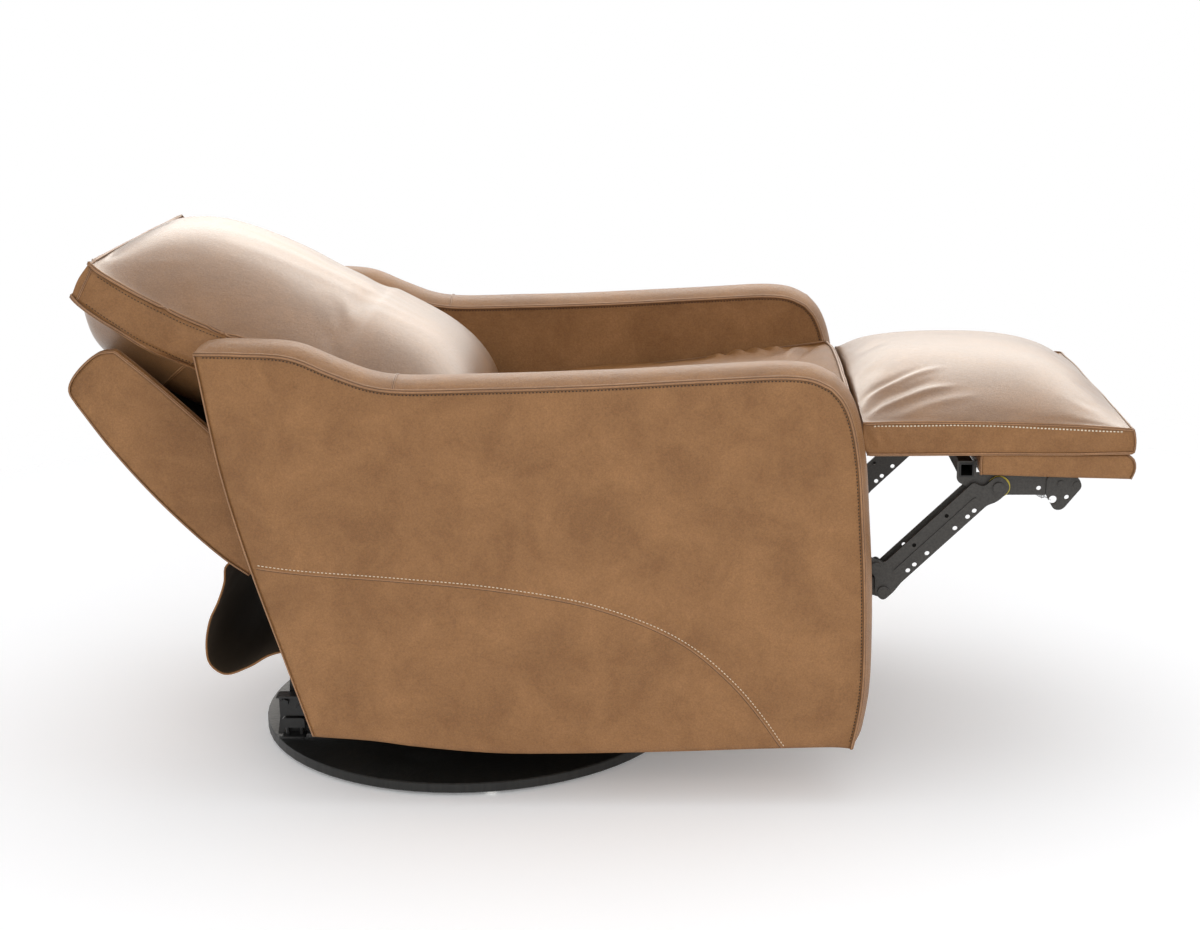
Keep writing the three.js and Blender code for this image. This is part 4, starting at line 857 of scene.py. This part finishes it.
def make_back_cushion():
    body = "inner_back"
    cover, table = boxed_cover(
        "back_cushion_cover", [on_back(run) for run in BACK_SIDE], [on_back(run) for run in BACK_MIDDLE],
        BACK_HALF, (2.6, 3.0, 7.0, 3.0), body, TAN_PULLED, puff=4.0, stations=56, spacing=8, dull=TAN,
        dull_runs=(3,),
    )
    stuffed(cover, [*side_loops(table), run_start(table, 0), rows_between(table, 1, 2), run_start(table, 3)])
    folds = []
    for y, lean, height in ((-150, 24, 0.8), (-95, 16, 0.9), (-40, 8, 0.7), (15, -4, 0.9), (70, -14, 0.8),
                            (125, -24, 0.9), (180, -30, 0.7)):
        knots = on_back([(400, 107), (280, 120), (150, 124), (20, 116)])
        folds.append(([(x, y + lean * k, z) for k, (x, z) in enumerate(knots)], height, 13))
    for y in (-215, 215):
        knots = on_back([(470, 46), (430, 62), (380, 84)])
        folds.append(([(x, y * (1 - 0.12 * k), z) for k, (x, z) in enumerate(knots)], 1.4, 11))
    ruffle(cover, "back_cushion", folds, (1.4, 150, 5))

    welts = [seam(cover, three_sides(table, run, crossing)) for run, crossing in ((0, 0), (2, 3))]
    # Upright corner seams of the boxing
    for side in (-1, 1):
        ends = placed_at(np.array(on_back([(490, 24), (491, -28)])), side * (BACK_HALF + 4))
        laid, outs = settle(cover, np.linspace(*ends, 14), 0.0)
        welts.append(welt(laid, outs, radius=0.9, shade_radius=0.6))
    # Cross seam on the belly of the cushion
    row = int(table["starts"][2] + 0.62 * (table["starts"][3] - table["starts"][2]))
    laid, outs = settle(cover, row_across(table, row), 0.0)
    welts.append(welt(laid, outs, radius=1.2, shade_radius=0.6))
    sew_on("back_cushion", welts, body)

    rows = []
    for station, side in ((0, -1), (table["last"], 1)):
        for run, inset in ((0, -6.5), (2, 6.5)):
            x, z = BACK_OUT * inset / 1000
            path = side_points(table, run, run + 1, station) + [x, side * 0.004, z]
            rows.append(stitches_on(cover, path[3:-3], BACK_STITCH))
    sew_thread("back_cushion_thread", rows, THREAD_BROWN, body)


# Seat cushion

SEAT_TAIL = [[(30, 434), (-4, 405), (-44, 394), (-76, 392)], [(-76, 392), (-77, 366)]]
SEAT_FLOOR = [[(-77, 366), (120, 389), (280, 408), (392, 422), (437, 428)], [(437, 428), (438, 470), (441, 481)],
              [(441, 481), (490, 481), (541, 481)]]
SEAT_SIDE = [
    [(562, 541), (505, 533), (400, 519), (269, 503), (140, 490), (52, 480)],
    [[(52, 480), *SEAT_TAIL[0]], SEAT_TAIL[1]],
    SEAT_FLOOR,
    [(541, 481), (553, 498), (562, 541)],
]
SEAT_MIDDLE = [
    [(562, 563), (505, 556), (400, 532), (269, 512), (140, 498), (58, 484)],
    [[(58, 484), *SEAT_TAIL[0]], SEAT_TAIL[1]],
    SEAT_FLOOR,
    [(541, 481), (558, 500), (562, 563)],
]
SEAT_FOLDS = [
    ([(362, 255, 520), (378, 216, 530), (386, 150, 538)], 7.0, 9),
    ([(398, 256, 524), (412, 205, 536), (425, 140, 545)], 8.0, 10),
    ([(432, 257, 528), (444, 200, 541), (452, 130, 550)], 8.0, 10),
    ([(463, 257, 532), (474, 190, 547), (478, 110, 555)], 9.0, 10),
    ([(480, 40, 557), (500, 130, 556), (516, 215, 546), (524, 255, 540)], 7.0, 9),
    ([(492, 20, 558), (516, 120, 558), (534, 210, 549)], -5.0, 9),
    ([(380, -250, 524), (395, -190, 535), (405, -110, 540)], 5.0, 11),
    ([(430, -252, 528), (446, -190, 542), (452, -110, 550)], 5.5, 11),
    ([(476, -250, 534), (494, -180, 552), (500, -90, 558)], 6.0, 11),
    ([(90, -225, 488), (170, -236, 496), (280, -244, 508)], 3.5, 13),
    ([(90, 225, 488), (170, 236, 496), (280, 244, 508)], 3.5, 13),
]


def make_seat_cushion():
    body = "carriage"
    cover, table = boxed_cover(
        "seat_cushion_cover", SEAT_SIDE, SEAT_MIDDLE, SEAT_HALF, 2.0, body, TAN_SEAT_SHADED, puff=1.0, stations=60,
        spacing=9, tuck=2,
    )
    stuffed(cover, [*side_loops(table), run_start(table, 0), rows_between(table, 1, 3), run_start(table, 3)])
    ruffle(cover, "seat_cushion", SEAT_FOLDS, (1.2, 110, 8), boxed_in=True)
    welts = [seam(cover, three_sides(table, 0, 0)), seam(cover, run_start(table, 3), radius=1.3)]
    sew_on("seat_cushion", welts, body)


# Footrest pad and board

PAD_SIDE = [
    [(573, 533), (640, 534), (760, 532), (880, 528), (951, 524)],
    [(951, 524), (955, 505), (953, 488)],
    [(953, 488), (850, 487), (700, 486), (580, 486)],
    [(580, 486), (573, 510), (573, 533)],
]
PAD_MIDDLE = [
    [(569, 560), (577, 573), (594, 584), (625, 592), (670, 597), (742, 598), (800, 596), (850, 588), (894, 573),
     (928, 551), (951, 523)],
    [(951, 523), (956, 505), (953, 487)],
    [(953, 487), (850, 486.5), (700, 486.5), (580, 486.5)],
    [(580, 486.5), (571, 512), (567, 538), (569, 560)],
]
PAD_FOLDS = [
    ([(572, -240, 540), (590, -199, 553), (619, -182, 564), (657, -157, 575), (700, -136, 582)], 4.0, 7),
    ([(572, -222, 544), (600, -182, 560), (632, -162, 571), (672, -136, 581)], -2.8, 9),
    ([(578, -258, 537), (593, -240, 545), (630, -222, 555), (674, -200, 565), (712, -190, 570)], 3.8, 7),
    ([(580, -250, 540), (606, -212, 556), (640, -196, 565), (688, -172, 577)], -2.6, 8),
    ([(600, -262, 536), (633, -254, 541), (656, -240, 548), (705, -222, 556), (745, -212, 560)], 2.0, 9),
    ([(576, -205, 552), (592, -160, 578), (622, -120, 596), (660, -96, 603)], 2.2, 10),
    ([(572, 5, 594), (590, -2, 600), (620, -8, 604), (650, -8, 607)], 2.0, 9),
    ([(574, 140, 580), (600, 120, 592), (640, 104, 600)], 2.2, 10),
    ([(575, 205, 562), (604, 180, 576), (660, 150, 590)], 3.0, 10),
    ([(580, 250, 542), (620, 226, 556), (690, 196, 574)], 3.4, 9),
    ([(948, -262, 530), (905, -236, 548), (858, -196, 572)], 1.4, 13),
    ([(948, 262, 530), (905, 236, 548), (858, 196, 572)], 1.4, 13),
    ([(583, -269, 529), (592, -270, 514), (600, -270, 492)], 2.6, 5),
    ([(600, -270, 530), (612, -270, 512), (630, -270, 494)], 1.8, 6),
    ([(622, -270, 530), (640, -270, 514), (668, -270, 496)], 1.2, 8),
]


def make_footrest_pad():
    body = "footrest"
    cover, table = boxed_cover(
        "footrest_pad_cover", PAD_SIDE, PAD_MIDDLE, PAD_HALF, 2.5, body, TAN_PULLED, puff=3.0, stations=64,
        spacing=8, tuck=4, dull=TAN, dull_runs=(1, 2),
    )
    stuffed(cover, [*side_loops(table), run_start(table, 0), run_start(table, 1), rows_between(table, 2, 3)])
    ruffle(cover, "footrest_pad", PAD_FOLDS, (2.0, 120, 3))

    last = table["last"]
    welts = [
        seam(cover, three_sides(table, run, crossing), radius=1.2, shade_radius=0.4) for run, crossing in ((0, 1), (2, 2))
    ]
    welts += [seam(cover, side_points(table, 1, 2, station), radius=0.9, shade_radius=0.5) for station in (0, last)]
    sew_on("footrest_pad", welts, body)

    edges = [side_points(table, 0, 1, station) + [0, side * 0.004, -0.0055] for station, side in ((0, -1), (last, 1))]
    edges.append(run_start(table, 1) + [0.004, 0, -0.0055])
    rows = [stitches_on(cover, edge[2:-2], PAD_STITCH, 0.0004) for edge in edges]
    sew_thread("footrest_pad_thread", rows, THREAD_CREAM, body)


BOARD_SIDE = [
    [(741, 485.5), (850, 485.5), (944, 485.5)],
    [(944, 485.5), (953, 478), (955, 464), (950, 451)],
    [(950, 451), (850, 453.5), (741, 457)],
    [(741, 457), (740, 470), (741, 485.5)],
]


def make_footrest_board():
    body = "footrest"
    cover, table = boxed_cover(
        "footrest_board_cover", BOARD_SIDE, BOARD_SIDE, BOARD_HALF, 2.0, body, TAN, puff=1.2, stations=30, spacing=5,
    )
    ruffle(cover, "footrest_board", [], (0.7, 80, 4), boxed_in=True)
    edges = [side_points(table, run, (run + 1) % 4, station) for station in (0, table["last"]) for run in (1, 3)]
    sew_on("footrest_board", [seam(cover, edge, radius=0.9, shade_radius=0.5) for edge in edges], body)


# Outer back shell

SHELL_TIP = np.array([-285.0, 312.0])
SHELL_ALONG = np.array([-0.676, 0.737])
SHELL_OUT = np.array([0.737, 0.676])


def on_shell(knots):
    return [tuple(SHELL_TIP + s * SHELL_ALONG + t * SHELL_OUT) for s, t in knots]


SHELL_REAR = [(0, 0), (41, -8), (155, -14), (256, -8), (332, 3)]
WING_RUNS = [
    SHELL_REAR,
    [(332, 3), (352, 9), (361, 28), (361, 75), (348, 95)],
    [(348, 95), (285, 102), (163, 110), (0, 118)],
    [(0, 118), (0, 60), (0, 0)],
]
PANEL_FACE = [(359, 34), (250, 34), (120, 34), (0, 34)]
PANEL_SIDE = [
    SHELL_REAR,
    [(332, 3), (352, 9), (360, 22), (359, 34)],
    PANEL_FACE,
    [(0, 34), (0, 17), (0, 0)],
]
PANEL_MIDDLE = [
    [(0, -2), (41, -12), (155, -22), (256, -16), (332, -3)],
    [(332, -3), (353, 5), (361, 20), (359, 34)],
    PANEL_FACE,
    [(0, 34), (0, 17), (0, -2)],
]


def make_wing(side, name):
    """One side of the outer back. It is a thin boxed cover, shifted to its side."""
    body = "outer_back"
    runs = [on_shell(run) for run in WING_RUNS]
    cover, table = boxed_cover(
        f"{name}_cover", runs, runs, (SHELL_WALL - WING_INSET) / 2, 2.0, body, TAN, puff=0.9, stations=6, spacing=6,
    )
    shift = np.array([0, side * (SHELL_OUTER - (SHELL_WALL + WING_INSET) / 2) / 1000, 0])
    put_points(cover, coordinates(cover) + shift)
    folds = []
    for s, height in ((325, 1.6), (300, 1.4), (275, 1.2)):
        knots = [(x, side * SHELL_OUTER, z) for x, z in on_shell([(s, 92), (s - 45, 55)])]
        folds.append((knots, height, 8))
    ruffle(cover, name, folds, (0.5, 90, 6))

    outer = 0 if side < 0 else table["last"]
    inner = table["last"] - outer
    welts = []
    for first_run, last_run, station, shade_radius in ((1, 3, outer, 0.5), (1, 3, inner, 0.5), (0, 1, outer, 0.6)):
        path = side_points(table, first_run, last_run, station) + shift
        welts.append(seam(cover, path, radius=1.0, shade_radius=shade_radius))
    sew_on(name, welts, body)
    edge = side_points(table, 2, 3, outer) + shift - [0, side * 0.0045, 0]
    sew_thread(f"{name}_thread", [stitches_on(cover, edge[2:-2], WING_STITCH)], THREAD_CREAM, body)


def make_shell_panel():
    body = "outer_back"
    cover, table = boxed_cover(
        "outer_back_panel_cover", [on_shell(run) for run in PANEL_SIDE], [on_shell(run) for run in PANEL_MIDDLE],
        SHELL_OUTER - SHELL_WALL - 0.5, 2.4, body, TAN, puff=0.0, stations=48, spacing=9,
    )
    ruffle(cover, "outer_back_panel", [], (1.2, 140, 7))
    cover.data.materials.append(FLAP_BACKING)
    front = Vector((SHELL_OUT[0], 0, SHELL_OUT[1]))
    for polygon in cover.data.polygons:
        polygon.material_index = 1 if polygon.normal.dot(front) > 0.8 else 0
    sew_on("outer_back_panel", [seam(cover, run_start(table, 1), radius=1.3, shade_radius=0.6)], body)


# Rear flap

FLAP_SECTION = [(-302, 322), (-314, 325), (-322, 318), (-325, 296), (-335, 268), (-350, 236), (-357, 196), (-353, 172),
                (-333, 157), (-298, 168), (-266, 186), (-236, 192), (-208, 188), (-182, 166), (-166, 134),
                (-162.5, 104)]


def make_flap():
    """A leather sheet with a dark backing. It hangs in a loop from the outer back to the chassis."""
    middle = smooth_path(FLAP_SECTION, 90)
    out = outward(middle)
    share = np.linspace(-1, 1, 40)
    along = np.linspace(0, 1, len(middle))
    loose = np.sin(np.pi * along) ** 2
    sheets = []
    for offset in (0.8, -0.8):
        flat = middle + out * offset
        rows = []
        for u in share:
            sag = 5 * math.cos(2.2 * u) + 3 * math.sin(5.1 * u + 0.6)
            bulge = 9 * np.exp(-(((along - 0.13) / 0.05) ** 2)) * (1 - u * u)
            x = flat[:, 0] - loose * sag * 0.6 - bulge
            z = flat[:, 1] - loose * sag * 0.35
            rows.append(placed_at(np.stack([x, z], axis=1), u * FLAP_HALF))
        sheets.append(np.array(rows))
    back, face = sheets
    count = len(middle)
    faces = grid_faces(len(share), count)
    parts = [(face.reshape(-1, 3), faces), (back.reshape(-1, 3), [f[::-1] for f in faces])]
    for a, b in [(back[k], face[k]) for k in (0, -1)] + [(back[:, k], face[:, k]) for k in (0, -1)]:
        n = len(a)
        parts.append((np.vstack([a, b]), [(i, i + 1, n + i + 1, n + i) for i in range(n - 1)]))
    flap = make_piece("rear_flap_sheet", *joined(parts), TAN, None, sharp=50)
    flap.data.materials.append(FLAP_BACKING)
    for polygon in flap.data.polygons:
        polygon.material_index = 1 if len(faces) <= polygon.index < 2 * len(faces) else 0
    weld(flap)
    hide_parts("rear_flap")
    rims = [tube((back[k] + face[k])[:-4] / 2, 0.0015, 8) for k in (0, -1)]
    rim = make_piece("rear_flap_rim", *joined(rims), TAN, None)
    lines = [face[k][3:-6] + [0, inward * 0.0045, 0] for k, inward in ((0, 1), (-1, -1))]
    rows = [stitches_on(flap, line, FLAP_STITCH, 0.0003) for line in lines]
    return flap, rim, make_piece("rear_flap_thread", *joined(rows), THREAD_TAN, None)


# Springs and washers of the footrest linkage


def make_spring(name):
    """A close wound extension spring with a hook at each end, from the tilt pivot to the notch of the gusset."""
    pivot = np.array(joints["footrest_tilt"]["pos_m"])
    low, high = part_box(name)
    y = (low[1] + high[1]) / 2
    start, end = (np.array([pivot[0] + x / 1000, y, pivot[2] + z / 1000]) for x, z in (SPRING_START, SPRING_END))
    length = np.linalg.norm(end - start)
    ahead = (end - start) / length
    up = np.cross([0, 1, 0], ahead)
    t = np.linspace(0, 1, SPRING_TURNS * SPRING_STEPS)[:, None]
    angle = 2 * np.pi * SPRING_TURNS * t
    ease = np.clip(np.minimum(t, 1 - t) * SPRING_TURNS / 1.5, 0, 1)
    line = start + ahead * SPRING_LEAD + ahead * (length - 2 * SPRING_LEAD) * t
    coil = line + SPRING_RADIUS * ease * (np.cos(angle) * [0, 1, 0] + np.sin(angle) * up)
    hook = ahead * SPRING_LEAD * 0.5
    path = np.vstack([start[None], start + hook, coil, end - hook, end[None]])
    spring = make_piece(f"{name}_coil", *tube(path, SPRING_WIRE, 6), ZINC, "footrest", "zinc")
    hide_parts(name)


def make_washer(side, name):
    """A thin ring round a tilt pivot, on the outside of the link."""
    x, _, z = joints["footrest_tilt"]["pos_m"]
    turn = np.linspace(0, 2 * np.pi, WASHER_POINTS, endpoint=False)
    rings = []
    corners = [(WASHER_INNER, 0), (WASHER_OUTER, 0), (WASHER_OUTER, WASHER_THICK), (WASHER_INNER, WASHER_THICK)]
    for radius, lift in corners:
        y = np.full(WASHER_POINTS, side * (WASHER_Y + lift))
        rings.append(np.stack([x + WASHER_SHIFT + radius * np.cos(turn), y, z + radius * np.sin(turn)], axis=1))
    points = np.array(rings).transpose(1, 0, 2).reshape(-1, 3)
    faces = []
    for i in range(WASHER_POINTS):
        a, b = i * 4, (i + 1) % WASHER_POINTS * 4
        faces += [(a + k, a + (k + 1) % 4, b + (k + 1) % 4, b + k) for k in range(4)]
    weld(make_piece(name, points, faces, YELLOW_PLASTIC, "footrest", "black_steel", sharp=40))


# Stage


def make_stage():
    scene = bpy.context.scene
    camera = bpy.data.cameras.new("photo camera")
    camera.lens = 57.31
    camera.sensor_width = 36
    camera.shift_x = -0.0755
    view = bpy.data.objects.new("photo camera", camera)
    view.location = place((336.94, -2828.35, 1154.12))
    view.rotation_euler = (math.radians(90 - 14.9007), 0, 0)
    scene.collection.objects.link(view)
    scene.camera = view

    paper, tree, shader = new_material("white paper floor")
    feed(tree, shader, {
        "Base Color": (0.95, 0.95, 0.95, 1), "Roughness": 0.9, "Specular IOR Level": 0.1,
        "Emission Color": (1, 1, 1, 1), "Emission Strength": 0.16,
    })
    where = node(tree, "ShaderNodeTexCoord", output="Object")
    reach = node(tree, "ShaderNodeVectorMath", {0: where}, "Value", operation="LENGTH")
    fade = node(tree, "ShaderNodeMapRange", {"Value": reach, "From Min": 1.1, "From Max": 2.4}, "Result")
    clear = node(tree, "ShaderNodeBsdfTransparent", output="BSDF")
    blend = node(tree, "ShaderNodeMixShader", {"Fac": fade, 1: shader.outputs["BSDF"], 2: clear}, "Shader")
    feed(tree, tree.nodes["Material Output"], {"Surface": blend})
    mesh = bpy.data.meshes.new("paper_floor")
    work = bmesh.new()
    bmesh.ops.create_grid(work, x_segments=8, y_segments=8, size=2.6)
    work.to_mesh(mesh)
    work.free()
    mesh.materials.append(paper)
    floor = bpy.data.objects.new("paper_floor", mesh)
    floor.location = (0, 0, -0.0005)
    scene.collection.objects.link(floor)

    world = bpy.data.worlds.new("white studio")
    scene.world = world
    world.use_nodes = True
    tree = world.node_tree
    background = tree.nodes["Background"]
    feed(tree, background, {"Color": (0.97, 0.98, 1.0, 1), "Strength": 0.8})
    ray = node(tree, "ShaderNodeLightPath").outputs
    # The studio's white walls end in a dimmer ceiling, which only reflections see
    aim = node(tree, "ShaderNodeTexCoord", output="Generated")
    height = node(tree, "ShaderNodeSeparateXYZ", {"Vector": aim}, "Z")
    ceiling = node(tree, "ShaderNodeMapRange", {
        "Value": height, "From Min": 0.4, "From Max": 0.8, "To Min": 1.0, "To Max": 0.3,
    }, "Result")
    level = math_node(tree, "MAXIMUM", ceiling, ray["Is Camera Ray"])
    seen = node(tree, "ShaderNodeBackground", {"Color": (1, 1, 1, 1), "Strength": level}, "Background")
    either = math_node(tree, "MAXIMUM", ray["Is Camera Ray"], ray["Is Glossy Ray"])
    any_ray = math_node(tree, "MAXIMUM", either, ray["Is Transmission Ray"])
    mix = node(tree, "ShaderNodeMixShader", {
        "Fac": any_ray, 1: background.outputs["Background"], 2: seen,
    }, "Shader")
    feed(tree, tree.nodes["World Output"], {"Surface": mix})

    for name, spot, aim, size, power, tint, in_diffuse in (
        ("top softbox", (0.1, 0.3, 3.1), (0, 0, 0.5), (3.0, 2.4), 18, (1, 1, 1), True),
        ("back softbox", (0.4, 2.6, 2.3), (0.05, 0, 0.6), (4.8, 2.1), 104, (1, 0.94, 0.86), False),
        ("front softbox", (0.6, -3.2, 1.9), (0, 0, 0.35), (2.6, 1.8), 22, (1, 1, 1), True),
    ):
        lamp = bpy.data.lights.new(name, "AREA")
        lamp.shape = "RECTANGLE"
        lamp.size, lamp.size_y = size
        lamp.energy = power
        lamp.color = tint
        holder = bpy.data.objects.new(name, lamp)
        holder.location = spot
        holder.rotation_euler = (Vector(aim) - Vector(spot)).to_track_quat("-Z", "Y").to_euler()
        holder.visible_camera = False
        holder.visible_diffuse = in_diffuse
        scene.collection.objects.link(holder)
    scene.view_settings.view_transform = "Standard"


make_stage()
dress_frame()
make_arm(-1, "arm_right")
make_arm(1, "arm_left")
make_back_cushion()
make_seat_cushion()
make_footrest_pad()
make_footrest_board()
make_wing(-1, "outer_back_wing_right")
make_wing(1, "outer_back_wing_left")
make_shell_panel()
for piece in make_flap():
    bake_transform(piece)
for side, hand in ((-1, "right"), (1, "left")):
    make_spring(f"footrest_spring_{hand}")
    make_washer(side, f"pivot_washer_{hand}")
